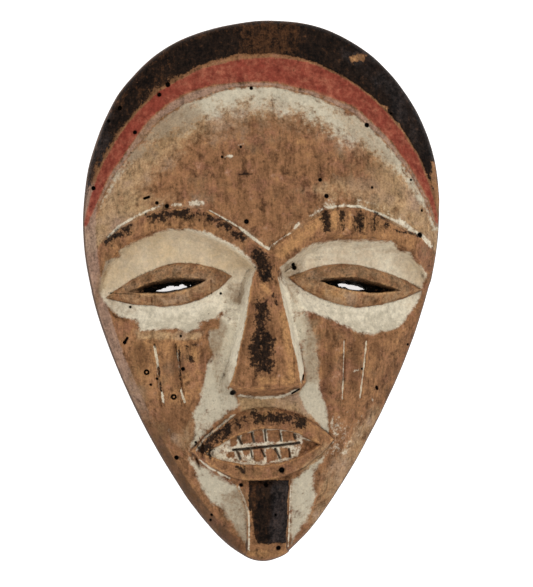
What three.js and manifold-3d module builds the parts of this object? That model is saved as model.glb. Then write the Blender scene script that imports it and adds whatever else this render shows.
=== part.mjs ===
import * as THREE from 'three';
import Module from 'manifold-3d';

// Miniature face mask carved from one piece of wood, lying face up on its flat back rim.
// Millimetres. +X is the viewer's right, +Y the top of the head, +Z out of the face.
// The origin lies in the plane of the rim, under the middle of the outline.
// Directions X and Y in capitals run from -1 to 1 over the outline; angles are in degrees.

// Overall size, and the shift that brings the lopsided outline over the origin
const WIDTH = 126;
const HEIGHT = 190;
const CENTRING = 0.31;

// Outline: the half width of an ellipse times a polynomial in Y, narrow at the chin
const EGG = [0.9418, 0.3886, -0.0836, -0.0983, 0.0431, 0.1217];
// Sideways drift of the middle line, [Y, offset]
const LEAN = [[-1, -0.3], [-0.9, -1], [-0.5, -1.4], [0, -1], [0.5, 0.2], [0.85, 0.5], [0.95, 1.4], [1, 4]];

// Side wall: the front surface rolls over a rounded shoulder and drops to the rim
const SHOULDER_RADIUS = 5;
const SHOULDER_START = 37;
const WALL_TUCK = 1.2;
const COLLAR = 0.125;
const SHOULDER_SHARE = 0.4;
const EDGE_HEIGHT = 17.5;
const EDGE_RISE = -2.5;

// Front surface along the middle, [y, height]
const CROWN = [[-95, 33], [-70, 36], [-40, 37], [0, 35.5], [25, 36.5], [50, 34.5], [75, 29], [95, 25]];
const DOME_POWER = 2.5;

// Head band: the forehead stands proud of the lower band, the hair band is stepped up again
const FOREHEAD = {
  edge: [
    [-61.5, 21.5], [-54, 37], [-47.1, 46.8], [-40.2, 55], [-33.3, 61.2], [-22.9, 66.7], [-12.5, 69.8],
    [-2, 70.7], [8.4, 69.7], [18.9, 66.7], [29.4, 62], [36.4, 57], [43.5, 49.8], [50.7, 40.2], [56.4, 31.4],
    [60.6, 22.5],
  ],
  step: 1.1,
  roll: 1,
  rollReach: 7,
};
const HAIR = { x: -0.4, y: 5.9, halfWidth: 64.7, halfHeight: 76.4, step: 0.8 };
const BAND_FOOT = [8, 16];

// Brows, eye sockets and cheeks, [distance from the middle line, y]
const MIDDLE = 0.6;
const LEFT = {
  browTop: [
    [0, 13.3], [3.8, 15.2], [14, 22.6], [20.8, 26.7], [25.5, 28], [31, 28.1], [37.7, 27.2], [44.5, 24.6],
    [51.2, 21.3], [56.7, 16.9], [60, 12.5],
  ],
  browFoot: [
    [0, 2], [3.6, 6.8], [12.6, 14.5], [26.1, 20.8], [32.8, 21.7], [46.2, 18.1], [55.5, 9.5], [60, -2],
  ],
  cheek: [[0, -8], [10, -10], [20, -16], [30, -17.5], [42, -17.3], [50, -15.5], [60, -4]],
  lid: { x: -33.9, y: 1.1, half: 21.9, tall: 7, bow: 0.35, tilt: 9.7, skew: 0.22 },
  slit: { x: -34.9, y: 1.4, half: 13.6, tall: 2.3, tilt: 7.9 },
};
const RIGHT = {
  browTop: [
    [0, 13.3], [3.1, 16.4], [13.5, 23.7], [20.6, 27], [27.7, 28.3], [34, 27.8], [40.5, 24.4], [46, 21.4],
    [52.9, 19.2], [58.1, 15.1], [60, 13],
  ],
  browFoot: [
    [0, 2], [2.6, 7], [8.8, 12.7], [18.3, 18.3], [30, 18.6], [42.4, 17.4], [47, 15.2], [51.5, 12.2],
    [55, 7.5], [60, -2],
  ],
  cheek: [[0, -2], [9, -2], [12.6, -8.2], [26, -17.1], [35.6, -17.8], [46, -16], [60, 2]],
  lid: { x: 31.8, y: 2.1, half: 24.6, tall: 7.1, bow: -0.8, tilt: -5, skew: -0.17 },
  slit: { x: 32.9, y: 1.5, half: 15, tall: 2.2, tilt: -6.8 },
};
const BROW_RISE = 1.5;
const BROW_FOOT_RUN = 2.5;
const BROW_FADE = [52, 60];
const SOCKET = { depth: 6.4, easing: 0.035, brow: 4.5, cheek: 9, temple: [53, 60], bridge: [1.5, 6.5] };
const LID = { edge: 1, crown: 2.6 };
const SLIT = { level: 30, taper: 0.05, lean: 0.1, top: 42, bottom: 12.5, points: 24 };

// Nose: a wedge from the brows to a cut-off tip, [y, value]
const NOSE = {
  half: [
    [-35, 13.1], [-31.8, 12.3], [-28.5, 11.4], [-22.5, 10], [-11.4, 7.6], [-3.4, 5.9], [0.3, 5.1],
    [7.2, 3.3], [14, 2.2],
  ],
  middle: [[-35, -2.4], [-29, -2], [-22.5, -1.6], [0, -1.7], [7.2, -1.2], [14, 0.3]],
  rise: [[-36, 11], [-20, 8.6], [0, 4.6], [10, 2], [14, 1.3]],
  root: 16,
  rootFall: 2,
  crease: 1.5,
  sideSlope: 3.3,
  tip: -33.4,
  tipCurl: 1.7,
  tipSlope: 3.1,
  blend: 0.9,
};
const NOSE_VALLEY = { depth: 2, offset: 3, width: 5, foot: [-50, -30], head: [14, 4] };

// Mouth: raised lips round a sunk row of teeth
const LIPS = { x: -1.7, y: -53.7, half: 25, tall: 12.8, bow: 0.6, tilt: 4.8, skew: 0 };
const LIP_RISE = { edge: 1.6, crown: 3.6 };
const TEETH = { x: -1.9, y: -54.8, half: 19.7, tall: 6.5, bow: 1.1, tilt: 4.8, skew: 0.06 };
const TEETH_SINK = 3.2;
const BITE = { from: [-12.1, -54.9], to: [10.6, -52.5], width: 0.9, depth: 1.2 };
const TOOTH_CUTS = { upper: [-10, -5.4, -1.3, 3.9, 9.1], lower: [-10.3, -5.7, -1.5, 3.3, 7.7] };
const TOOTH_CUT = { width: 0.8, depth: 0.8, gap: 0.4, margin: 0.8 };

// Narrow beard block on the chin; its left flank slopes, over a width given as [y, width]
const BEARD = {
  x: 0.5,
  half: 7.1,
  top: -65.3,
  rise: 1.9,
  ridge: 0.8,
  foot: [-96, -88],
  flank: [[-90, 1.1], [-77, 1.1], [-68, 3.6]],
};
const BEARD_VALLEY = { depth: 0.9, width: 4, head: [-66, -72], foot: [-95, -88] };

// Pairs of straight cuts down the cheeks, [x, y] at the top and the foot
const SCARS = [
  [[-39.8, -19], [-36.4, -40.4]],
  [[-31.9, -19], [-29.3, -40.4]],
  [[26.6, -17.2], [26.4, -37.8]],
  [[34.4, -17.2], [32.5, -37.2]],
];
const SCAR = { width: 1, depth: 0.8 };

// Hollow back, gouged out inside a flat rim
const RIM = 8.5;
const HOLLOW_DEPTH = 27;
const HOLLOW_POWER = 3.5;
const HOLLOW_REACH = 1.05;

// Fineness of the carved surfaces
const FACE_NET = { levels: 8, tolerance: 0.31 };
const HOLLOW_NET = { levels: 6, tolerance: 0.45 };

// Half the width over which a carved step runs out
const EDGE_SOFTNESS = 1.1;

const WOOD = { color: 0x9a6a41, roughness: 0.75, metalness: 0 };

const RADIANS = Math.PI / 180;
const SHOULDER_OUT = SHOULDER_RADIUS * (1 - Math.sin(SHOULDER_START * RADIANS));
const HALF_WIDTH = WIDTH / 2 - SHOULDER_OUT;
const HALF_HEIGHT = HEIGHT / 2 - SHOULDER_OUT;

const clamp = THREE.MathUtils.clamp;

// 0 before the first value and 1 after the second, easing between; the two may run backwards
function ease(from, to, value) {
  const t = clamp((value - from) / (to - from), 0, 1);
  return t * t * (3 - 2 * t);
}

function bell(value, width) {
  return Math.exp(-((value / width) ** 2));
}

// The greater of two heights with the corner between them rounded
function blendedMax(a, b, reach) {
  const share = clamp(0.5 + 0.5 * (a - b) / reach, 0, 1);
  return b + (a - b) * share + reach * share * (1 - share);
}

// Smooth curve through knots [x, y]; level beyond both ends
function curve(knots, x) {
  const last = knots.length - 1;
  const at = clamp(x, knots[0][0], knots[last][0]);
  let k = 0;
  while (k < last - 1 && at > knots[k + 1][0]) {
    k += 1;
  }
  const slope = (i) => {
    const before = knots[Math.max(i - 1, 0)];
    const after = knots[Math.min(i + 1, last)];
    return (after[1] - before[1]) / (after[0] - before[0]);
  };
  const [x0, y0] = knots[k];
  const [x1, y1] = knots[k + 1];
  const run = x1 - x0;
  const t = (at - x0) / run;
  const s = 1 - t;
  return y0 * (1 + 2 * t) * s * s + run * slope(k) * t * s * s
    + y1 * t * t * (3 - 2 * t) - run * slope(k + 1) * t * t * s;
}

function eggShare(Y) {
  return EGG.reduceRight((sum, part) => sum * Y + part, 0);
}

// Plan point of a spot of the unit disc, and back
function plan(X, Y) {
  return [HALF_WIDTH * eggShare(Y) * X + curve(LEAN, Y), HALF_HEIGHT * Y];
}

function unitDisc(x, y) {
  const Y = y / HALF_HEIGHT;
  return [(x - curve(LEAN, Y)) / (HALF_WIDTH * eggShare(Y)), Y];
}

// The square -1..1 pressed round into the unit disc
function squareToDisc(a, b) {
  return [a * Math.sqrt(1 - b * b / 2), b * Math.sqrt(1 - a * a / 2)];
}

function dome(x, y) {
  const [X, Y] = unitDisc(x, y);
  const edge = EDGE_HEIGHT + EDGE_RISE * Y;
  return edge + (curve(CROWN, y) - edge) * (1 - Math.hypot(X, Y) ** DOME_POWER);
}

// An almond shape, blunter at one end by its skew: along and across its bowed middle line, the
// distance inside its edge, and a swelling that is 0 at the edge and about 1 in the middle
function almond(shape, x, y) {
  const c = Math.cos(shape.tilt * RADIANS);
  const s = Math.sin(shape.tilt * RADIANS);
  const along = (x - shape.x) * c + (y - shape.y) * s;
  const t = Math.min(Math.abs(along) / shape.half, 1);
  const across = (y - shape.y) * c - (x - shape.x) * s - shape.bow * (1 - t * t);
  const end = shape.skew * Math.sign(along) * t;
  const reach = shape.tall * (1 - t * t) * (1 + end);
  const past = Math.abs(along) - shape.half;
  const slope = shape.tall * (shape.skew * Math.sign(along) * (1 - t * t) - 2 * t * (1 + end)) / shape.half;
  const inside = past > 0 ? -Math.hypot(past, across) : (reach - Math.abs(across)) / Math.hypot(1, slope);
  const swell = inside > 0 ? Math.sqrt(reach / shape.tall) * (1 - (across / reach) ** 2) : 0;
  return { along, across, inside, swell };
}

// Distance above the edge of the forehead, and outside the edge of the hair band
function aboveForehead(x, y) {
  const slope = curve(FOREHEAD.edge, x + 0.5) - curve(FOREHEAD.edge, x - 0.5);
  return (y - curve(FOREHEAD.edge, x)) / Math.hypot(1, slope);
}

function outsideHair(x, y) {
  const u = (x - HAIR.x) / HAIR.halfWidth;
  const v = (y - HAIR.y) / HAIR.halfHeight;
  const r = Math.hypot(u, v);
  return r * (r - 1) / Math.hypot(u / HAIR.halfWidth, v / HAIR.halfHeight);
}

function headBands(x, y) {
  const high = ease(...BAND_FOOT, y);
  const above = aboveForehead(x, y);
  const onBand = ease(-EDGE_SOFTNESS, EDGE_SOFTNESS, above);
  const roll = FOREHEAD.roll * Math.exp(Math.min(above, 0) / FOREHEAD.rollReach) * (1 - onBand);
  const hair = HAIR.step * ease(-EDGE_SOFTNESS, EDGE_SOFTNESS, outsideHair(x, y));
  return high * (hair - FOREHEAD.step * onBand - roll);
}

function browsAndSockets(x, y) {
  const side = x < MIDDLE ? LEFT : RIGHT;
  const off = Math.abs(x - MIDDLE);
  const underTop = curve(side.browTop, off) - y;
  const underFoot = curve(side.browFoot, off) - y;
  const overCheek = y - curve(side.cheek, off);
  const fade = 1 - ease(...BROW_FADE, off);
  const brow = BROW_RISE * ease(-EDGE_SOFTNESS, EDGE_SOFTNESS, underTop)
    * (1 - ease(-EDGE_SOFTNESS, BROW_FOOT_RUN, underFoot));
  const socket = (SOCKET.depth - SOCKET.easing * off) * ease(-EDGE_SOFTNESS, SOCKET.brow, underFoot)
    * ease(0, SOCKET.cheek, overCheek) * (1 - ease(...SOCKET.temple, off)) * ease(...SOCKET.bridge, off);
  return fade * brow - socket;
}

function eyelids(x, y) {
  return [LEFT, RIGHT].reduce((sum, side) => {
    const lid = almond(side.lid, x, y);
    return sum + LID.edge * ease(-EDGE_SOFTNESS, EDGE_SOFTNESS, lid.inside) + LID.crown * lid.swell;
  }, 0);
}

function noseValley(x, y) {
  const off = Math.abs(x - curve(NOSE.middle, y)) - curve(NOSE.half, y) - NOSE_VALLEY.offset;
  const { foot, head } = NOSE_VALLEY;
  return NOSE_VALLEY.depth * bell(off, NOSE_VALLEY.width) * ease(...foot, y) * ease(...head, y);
}

function noseSurface(x, y) {
  const middle = curve(NOSE.middle, y);
  const half = curve(NOSE.half, y);
  const off = Math.abs(x - middle);
  const t = Math.min(off / half, 1);
  const tip = NOSE.tip + NOSE.tipCurl * t * t;
  const ridge = dome(middle, Math.max(y, NOSE.tip)) + curve(NOSE.rise, y);
  return ridge - NOSE.crease * t * t - NOSE.sideSlope * Math.max(0, off - half)
    - NOSE.tipSlope * Math.max(0, tip - y) - NOSE.rootFall * Math.max(0, y - NOSE.root);
}

function mouth(x, y) {
  const lips = almond(LIPS, x, y);
  const teeth = almond(TEETH, x, y);
  return LIP_RISE.edge * ease(-EDGE_SOFTNESS, EDGE_SOFTNESS, lips.inside) + LIP_RISE.crown * lips.swell
    - TEETH_SINK * ease(-EDGE_SOFTNESS, EDGE_SOFTNESS, teeth.inside);
}

function beard(x, y) {
  const off = Math.abs(x - BEARD.x);
  const flank = x < BEARD.x ? curve(BEARD.flank, y) : EDGE_SOFTNESS;
  const onBlock = ease(-flank, EDGE_SOFTNESS, BEARD.half - off) * ease(0, 3, BEARD.top - y);
  const block = (BEARD.rise + BEARD.ridge * (1 - off / BEARD.half)) * onBlock * ease(...BEARD.foot, y);
  const valley = BEARD_VALLEY.depth * bell(off - BEARD.half, BEARD_VALLEY.width) * (1 - onBlock)
    * ease(...BEARD_VALLEY.head, y) * ease(...BEARD_VALLEY.foot, y);
  return block - valley;
}

// Height of the carved front over a plan point
function face(x, y) {
  const ground = dome(x, y) + headBands(x, y) + browsAndSockets(x, y) + eyelids(x, y) - noseValley(x, y);
  return blendedMax(ground, noseSurface(x, y), NOSE.blend) + mouth(x, y) + beard(x, y);
}

// Outward direction of the outline in plan
function outward(X, Y) {
  const angle = Math.atan2(Y, X);
  const nudge = 1e-3;
  const [x0, y0] = plan(Math.cos(angle - nudge), Math.sin(angle - nudge));
  const [x1, y1] = plan(Math.cos(angle + nudge), Math.sin(angle + nudge));
  return new THREE.Vector2(y1 - y0, x0 - x1).normalize();
}

// Point of the carved front for a spot of the square; the outer collar is the side wall
function carvedPoint(a, b) {
  const around = Math.max(Math.abs(a), Math.abs(b));
  const scale = Math.max(around, 1 - COLLAR);
  const [X, Y] = squareToDisc(a / scale, b / scale);
  const [x, y] = plan(X, Y);
  const down = clamp((around - 1 + COLLAR) / COLLAR, 0, 1);
  if (down === 0) {
    return new THREE.Vector3(x, y, face(x, y));
  }
  const start = SHOULDER_START * RADIANS;
  const angle = THREE.MathUtils.lerp(start, Math.PI / 2, Math.min(down / SHOULDER_SHARE, 1));
  const wall = Math.max((down - SHOULDER_SHARE) / (1 - SHOULDER_SHARE), 0);
  const out = SHOULDER_RADIUS * (Math.sin(angle) - Math.sin(start)) - WALL_TUCK * wall * wall;
  const drop = SHOULDER_RADIUS * (Math.cos(start) - Math.cos(angle));
  const side = outward(X, Y);
  return new THREE.Vector3(x + side.x * out, y + side.y * out, (face(x, y) - drop) * (1 - wall));
}

// Point of the hollow for a spot of the square; it runs out below the rim plane
function hollowPoint(a, b) {
  const [X, Y] = squareToDisc(a, b).map((part) => part * HOLLOW_REACH);
  const depth = HOLLOW_DEPTH * (1 - Math.hypot(X, Y) ** HOLLOW_POWER);
  const x = (HALF_WIDTH - RIM) * eggShare(Y) * X + curve(LEAN, Y);
  return new THREE.Vector3(x, (HALF_HEIGHT - RIM) * Y, depth);
}

// Covers the square with right-angled triangles, halved again wherever the flat triangle would
// miss the surface by more than the tolerance, and lifts them onto the surface
function surfaceNet(place, { levels, tolerance }) {
  const cells = 2 ** levels;
  const size = cells + 1;
  const key = (i, j) => j * size + i;
  const points = [];
  for (let j = 0; j < size; j += 1) {
    for (let i = 0; i < size; i += 1) {
      points.push(place(2 * i / cells - 1, 2 * j / cells - 1));
    }
  }
  const along = (k0, k1) => new THREE.Vector3().subVectors(points[k1], points[k0]);
  const normal = (i, j) => {
    const edge = (v) => clamp(v, 0, cells);
    const u = along(key(edge(i - 1), j), key(edge(i + 1), j));
    const v = along(key(i, edge(j - 1)), key(i, edge(j + 1)));
    return u.cross(v).normalize();
  };
  const missed = new Float32Array(points.length);
  const measure = (i, j, di, dj, children) => {
    const flat = new THREE.Vector3().addVectors(points[key(i - di, j - dj)], points[key(i + di, j + dj)]);
    const gap = flat.multiplyScalar(0.5).sub(points[key(i, j)]);
    const own = Math.abs(gap.dot(normal(i, j)));
    const inner = children.map(([ci, cj]) => missed[key(clamp(i + ci, 0, cells), clamp(j + cj, 0, cells))]);
    missed[key(i, j)] = Math.max(own, ...inner);
  };
  for (let half = 1; half < cells; half *= 2) {
    const q = half / 2;
    const quarters = half > 1 ? [[q, q], [-q, q], [q, -q], [-q, -q]] : [];
    for (let j = 0; j <= cells; j += half) {
      for (let i = 0; i <= cells; i += half) {
        const columnOdd = i / half % 2 === 1;
        const rowOdd = j / half % 2 === 1;
        if (columnOdd !== rowOdd) {
          measure(i, j, columnOdd ? half : 0, rowOdd ? half : 0, quarters);
        }
      }
    }
    const sides = [[half, 0], [-half, 0], [0, half], [0, -half]];
    for (let j = half; j < cells; j += 2 * half) {
      for (let i = half; i < cells; i += 2 * half) {
        const rising = (i - half + j - half) / (2 * half) % 2 === 0;
        measure(i, j, half, rising ? half : -half, sides);
      }
    }
  }
  const used = new Map();
  const net = { positions: [], triangles: [] };
  const vertex = (i, j) => {
    const k = key(i, j);
    if (!used.has(k)) {
      used.set(k, used.size);
      net.positions.push(...points[k]);
    }
    return used.get(k);
  };
  const divide = (a, b, c) => {
    const middle = [(a[0] + b[0]) / 2, (a[1] + b[1]) / 2];
    const canSplit = Math.abs(a[0] - c[0]) + Math.abs(a[1] - c[1]) > 1;
    if (canSplit && missed[key(...middle)] > tolerance) {
      divide(c, a, middle);
      divide(b, c, middle);
    } else {
      net.triangles.push(vertex(...a), vertex(...c), vertex(...b));
    }
  };
  divide([0, 0], [cells, cells], [cells, 0]);
  divide([cells, cells], [0, 0], [0, cells]);
  return net;
}

// Closes the open edge of a net with a flat fan round the origin
function closed({ positions, triangles }) {
  const edges = new Map();
  for (let t = 0; t < triangles.length; t += 3) {
    for (let k = 0; k < 3; k += 1) {
      const from = triangles[t + k];
      const to = triangles[t + (k + 1) % 3];
      edges.set(`${from} ${to}`, [from, to]);
    }
  }
  const centre = positions.length / 3;
  const fan = [];
  for (const [from, to] of edges.values()) {
    if (!edges.has(`${to} ${from}`)) {
      fan.push(to, from, centre);
    }
  }
  return { positions: [...positions, 0, 0, positions[3 * fan[0] + 2]], triangles: [...triangles, ...fan] };
}

// Prism through a stack of rings with the same number of points, capped at both ends
function loft(rings) {
  const count = rings[0].length;
  const triangles = [];
  for (let r = 0; r < rings.length - 1; r += 1) {
    for (let k = 0; k < count; k += 1) {
      const next = (k + 1) % count;
      const low = r * count;
      const high = low + count;
      triangles.push(low + k, low + next, high + next);
      triangles.push(low + k, high + next, high + k);
    }
  }
  const last = (rings.length - 1) * count;
  for (let k = 1; k < count - 1; k += 1) {
    triangles.push(0, k + 1, k);
    triangles.push(last, last + k, last + k + 1);
  }
  return { positions: rings.flat().flatMap((point) => [...point]), triangles };
}

// Tapering opening through an eyelid, narrower and lower at the back
function slitCutter({ x, y, half, tall, tilt }) {
  const ring = (z) => {
    const share = 1 + (z - SLIT.level) * SLIT.taper;
    const shift = Math.min(z - SLIT.level, 0) * SLIT.lean;
    return Array.from({ length: SLIT.points }, (_, k) => {
      const angle = 2 * Math.PI * k / SLIT.points;
      const along = half * share * Math.cos(angle);
      const across = tall * share * Math.sin(angle) * Math.abs(Math.sin(angle)) + shift;
      return new THREE.Vector3(along, across, 0)
        .applyAxisAngle(new THREE.Vector3(0, 0, 1), tilt * RADIANS)
        .add(new THREE.Vector3(x, y, z));
    });
  };
  return loft([ring(SLIT.bottom), ring(SLIT.level), ring(SLIT.top)]);
}

// Straight knife cut of V section that follows the surface between two plan points
function knifeCut(from, to, { width, depth }, pieces = 4) {
  const start = new THREE.Vector2(...from);
  const end = new THREE.Vector2(...to);
  const aside = end.clone().sub(start).normalize();
  const rings = [];
  for (let k = 0; k <= pieces; k += 1) {
    const { x, y } = start.clone().lerp(end, k / pieces);
    const z = face(x, y);
    const spread = width * (depth + 1) / depth / 2;
    rings.push([
      new THREE.Vector3(x, y, z - depth),
      new THREE.Vector3(x - aside.y * spread, y + aside.x * spread, z + 1),
      new THREE.Vector3(x + aside.y * spread, y - aside.x * spread, z + 1),
    ]);
  }
  return loft(rings);
}

// Line between the rows of teeth and the cuts between the teeth of each row
function toothCuts() {
  const slope = (BITE.to[1] - BITE.from[1]) / (BITE.to[0] - BITE.from[0]);
  const biteAt = (x) => BITE.from[1] + slope * (x - BITE.from[0]);
  const edgeAt = (x, way) => {
    let y = biteAt(x);
    while (almond(TEETH, x, y).inside > TOOTH_CUT.margin) {
      y += 0.1 * way;
    }
    return y;
  };
  const row = (places, way) => places.map((x) => {
    const inner = [x, biteAt(x) + way * TOOTH_CUT.gap];
    return knifeCut(inner, [x, edgeAt(x, way)], TOOTH_CUT, 1);
  });
  return [knifeCut(BITE.from, BITE.to, BITE, 6), ...row(TOOTH_CUTS.upper, 1), ...row(TOOTH_CUTS.lower, -1)];
}

const wasm = await Module();
wasm.setup();

function toSolid({ positions, triangles }) {
  const vertProperties = new Float32Array(positions);
  const triVerts = new Uint32Array(triangles);
  return new wasm.Manifold(new wasm.Mesh({ numProp: 3, vertProperties, triVerts }));
}

function carvedMask() {
  const block = toSolid(closed(surfaceNet(carvedPoint, FACE_NET)));
  const hollow = toSolid(closed(surfaceNet(hollowPoint, HOLLOW_NET)));
  const cutters = [
    ...[LEFT, RIGHT].map((side) => slitCutter(side.slit)),
    ...SCARS.map(([from, to]) => knifeCut(from, to, SCAR)),
    ...toothCuts(),
  ];
  return cutters.reduce((solid, cutter) => solid.subtract(toSolid(cutter)), block.subtract(hollow));
}

function toGeometry(solid) {
  const { vertProperties, triVerts } = solid.getMesh();
  const geometry = new THREE.BufferGeometry();
  geometry.setAttribute('position', new THREE.BufferAttribute(vertProperties, 3));
  geometry.setIndex(new THREE.BufferAttribute(triVerts, 1));
  geometry.translate(CENTRING, 0, 0);
  geometry.computeVertexNormals();
  return geometry;
}

const mask = new THREE.Mesh(toGeometry(carvedMask()), new THREE.MeshStandardMaterial(WOOD));
mask.name = 'mask';

const part = new THREE.Group();
part.name = 'miniature_mask';
part.add(mask);

export default part;
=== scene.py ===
"""A miniature carved and painted wooden face mask, lying face up on its flat back rim."""

import logging
import math
from dataclasses import dataclass, field
from enum import Enum
from typing import Any, Callable, Sequence

import bpy
import numpy as np
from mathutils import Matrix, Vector


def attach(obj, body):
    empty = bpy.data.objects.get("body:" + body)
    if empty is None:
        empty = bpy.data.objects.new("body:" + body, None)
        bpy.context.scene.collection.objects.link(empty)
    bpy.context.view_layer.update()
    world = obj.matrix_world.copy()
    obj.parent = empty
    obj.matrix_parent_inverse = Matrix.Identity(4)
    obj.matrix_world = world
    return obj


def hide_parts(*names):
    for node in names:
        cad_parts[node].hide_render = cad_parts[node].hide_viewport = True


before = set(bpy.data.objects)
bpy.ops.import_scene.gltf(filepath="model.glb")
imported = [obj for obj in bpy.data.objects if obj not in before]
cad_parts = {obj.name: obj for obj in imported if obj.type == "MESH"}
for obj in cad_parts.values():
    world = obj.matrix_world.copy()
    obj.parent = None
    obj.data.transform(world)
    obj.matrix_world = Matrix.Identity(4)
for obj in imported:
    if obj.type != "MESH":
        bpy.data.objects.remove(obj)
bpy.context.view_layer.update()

log = logging.getLogger("mask")

Array = np.ndarray
Knots = tuple[tuple[float, float], ...]
Point = tuple[float, float]

MM = 0.001


# Small numeric helpers. Carving sizes are in millimetres throughout.


def ease(start: float, end: float, value: Array) -> Array:
    """Ramp smoothly from 0 to 1.

    Args:
        start: Value at which the ramp begins; may be greater than end.
        end: Value at which the ramp is complete.
        value: Where to read the ramp.

    Returns:
        0 before start, 1 past end, easing between.
    """
    t = np.clip((value - start) / (end - start), 0.0, 1.0)
    return t * t * (3.0 - 2.0 * t)


def bell(value: Array, width: float) -> Array:
    """Read a bell curve that is 1 at zero.

    Args:
        value: Distance from the middle.
        width: Distance at which the bell has fallen to 1/e.

    Returns:
        The height of the bell.
    """
    return np.exp(-((value / width) ** 2))


def line(distance: Array, width: float) -> Array:
    """Draw a line with slanting sides.

    Args:
        distance: Distance from its middle.
        width: Half its width.

    Returns:
        1 in the middle, 0 at the width and at least -1.
    """
    return np.clip(1.0 - np.abs(distance) / width, -1.0, 1.0)


def blended_max(a: Array, b: Array, reach: float) -> Array:
    """Take the greater of two heights with the corner between them rounded.

    Args:
        a: First height.
        b: Second height.
        reach: Height difference over which the two blend.

    Returns:
        The blended height.
    """
    share = np.clip(0.5 + 0.5 * (a - b) / reach, 0.0, 1.0)
    return b + (a - b) * share + reach * share * (1.0 - share)


def curve(knots: Knots, x: Array) -> Array:
    """Read a smooth curve through knots, level beyond both ends.

    Args:
        knots: Pairs of position and value, in rising position.
        x: Where to read the curve.

    Returns:
        The values of the curve.
    """
    at, value = np.array(knots, dtype=float).T
    inner = (value[2:] - value[:-2]) / (at[2:] - at[:-2])
    first = (value[1] - value[0]) / (at[1] - at[0])
    last = (value[-1] - value[-2]) / (at[-1] - at[-2])
    slope = np.concatenate([[first], inner, [last]])
    x = np.clip(x, at[0], at[-1])
    k = np.clip(np.searchsorted(at, x, side="right") - 1, 0, len(at) - 2)
    run = at[k + 1] - at[k]
    t = (x - at[k]) / run
    s = 1.0 - t
    rise = value[k] * (1.0 + 2.0 * t) * s * s + run * slope[k] * t * s * s
    return rise + value[k + 1] * t * t * (3.0 - 2.0 * t) - run * slope[k + 1] * t * t * s


@dataclass(frozen=True)
class Hills:
    """Smooth random hills, the same at every run.

    Attributes:
        seed: Which hills.
        cells: Number of random values along each side of the repeating tile.
    """

    seed: int
    cells: int = 128

    def read(self, x: Array, y: Array, size: float, stretch: float = 1.0) -> Array:
        """Read the hills.

        Args:
            x: Places across, in millimetres.
            y: Places up, in millimetres.
            size: Width of one hill in millimetres.
            stretch: How many times taller than wide a hill is.

        Returns:
            Heights from -1 to 1.
        """
        tile = np.random.default_rng(self.seed).uniform(-1.0, 1.0, (self.cells, self.cells))
        u = x / size + 31.7
        v = y / (size * stretch) + 57.3
        i, j = np.floor(u).astype(int), np.floor(v).astype(int)
        s, t = ease(0.0, 1.0, u - i), ease(0.0, 1.0, v - j)
        i0, j0 = i % self.cells, j % self.cells
        i1, j1 = (i + 1) % self.cells, (j + 1) % self.cells
        low = tile[j0, i0] * (1.0 - s) + tile[j0, i1] * s
        high = tile[j1, i0] * (1.0 - s) + tile[j1, i1] * s
        return low * (1.0 - t) + high * t


# The carved form: each class holds its sizes and cuts or raises the front surface


@dataclass(frozen=True)
class Outline:
    """Egg-shaped outline of the mask with a rounded shoulder and a side wall.

    Attributes:
        width: Greatest width.
        height: Greatest height.
        egg: Polynomial in Y that narrows an ellipse towards the chin.
        lean: Sideways drift of the middle line over Y.
        shoulder_radius: Radius of the edge between front and side wall.
        shoulder_start: Steepness of the front where the shoulder begins, in degrees.
        tuck: How far the wall comes in again at the rim.
    """

    width: float = 126.0
    height: float = 190.0
    egg: tuple[float, ...] = (0.9418, 0.3886, -0.0836, -0.0983, 0.0431, 0.1217)
    lean: Knots = (
        (-1.0, -0.3), (-0.9, -1.0), (-0.5, -1.4), (0.0, -1.0),
        (0.5, 0.2), (0.85, 0.5), (0.95, 1.4), (1.0, 4.0),
    )
    shoulder_radius: float = 5.0
    shoulder_start: float = 37.0
    tuck: float = 1.2

    @property
    def shoulder_out(self) -> float:
        """How far the shoulder stands out beyond the front surface."""
        return self.shoulder_radius * (1.0 - math.sin(math.radians(self.shoulder_start)))

    @property
    def half_width(self) -> float:
        """Half the width of the front surface."""
        return self.width / 2.0 - self.shoulder_out

    @property
    def half_height(self) -> float:
        """Half the height of the front surface."""
        return self.height / 2.0 - self.shoulder_out

    def share(self, Y: Array) -> Array:
        """Give the half width over Y as a share of an ellipse's.

        Args:
            Y: Height from -1 at the chin to 1 at the crown.

        Returns:
            The share.
        """
        return np.polynomial.polynomial.polyval(Y, self.egg)

    def plan(self, X: Array, Y: Array, inset: float = 0.0) -> tuple[Array, Array]:
        """Find the plan point of a spot of the unit disc.

        Args:
            X: Disc place across.
            Y: Disc place up.
            inset: How far inside the outline the disc's edge lies.

        Returns:
            Plan x and y.
        """
        x = (self.half_width - inset) * self.share(Y) * X + curve(self.lean, Y)
        return x, (self.half_height - inset) * Y

    def disc(self, x: Array, y: Array) -> tuple[Array, Array]:
        """Find the unit-disc spot of a plan point.

        Args:
            x: Plan place across.
            y: Plan place up.

        Returns:
            Disc X and Y.
        """
        Y = y / self.half_height
        return (x - curve(self.lean, Y)) / (self.half_width * self.share(Y)), Y

    def outward(self, X: Array, Y: Array) -> tuple[Array, Array]:
        """Find the outline's outward direction.

        Args:
            X: Disc place across.
            Y: Disc place up.

        Returns:
            The two parts of the unit direction.
        """
        angle = np.arctan2(Y, X)
        nudge = 1e-3
        x0, y0 = self.plan(np.cos(angle - nudge), np.sin(angle - nudge))
        x1, y1 = self.plan(np.cos(angle + nudge), np.sin(angle + nudge))
        length = np.hypot(x1 - x0, y1 - y0)
        return (y1 - y0) / length, (x0 - x1) / length


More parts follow.
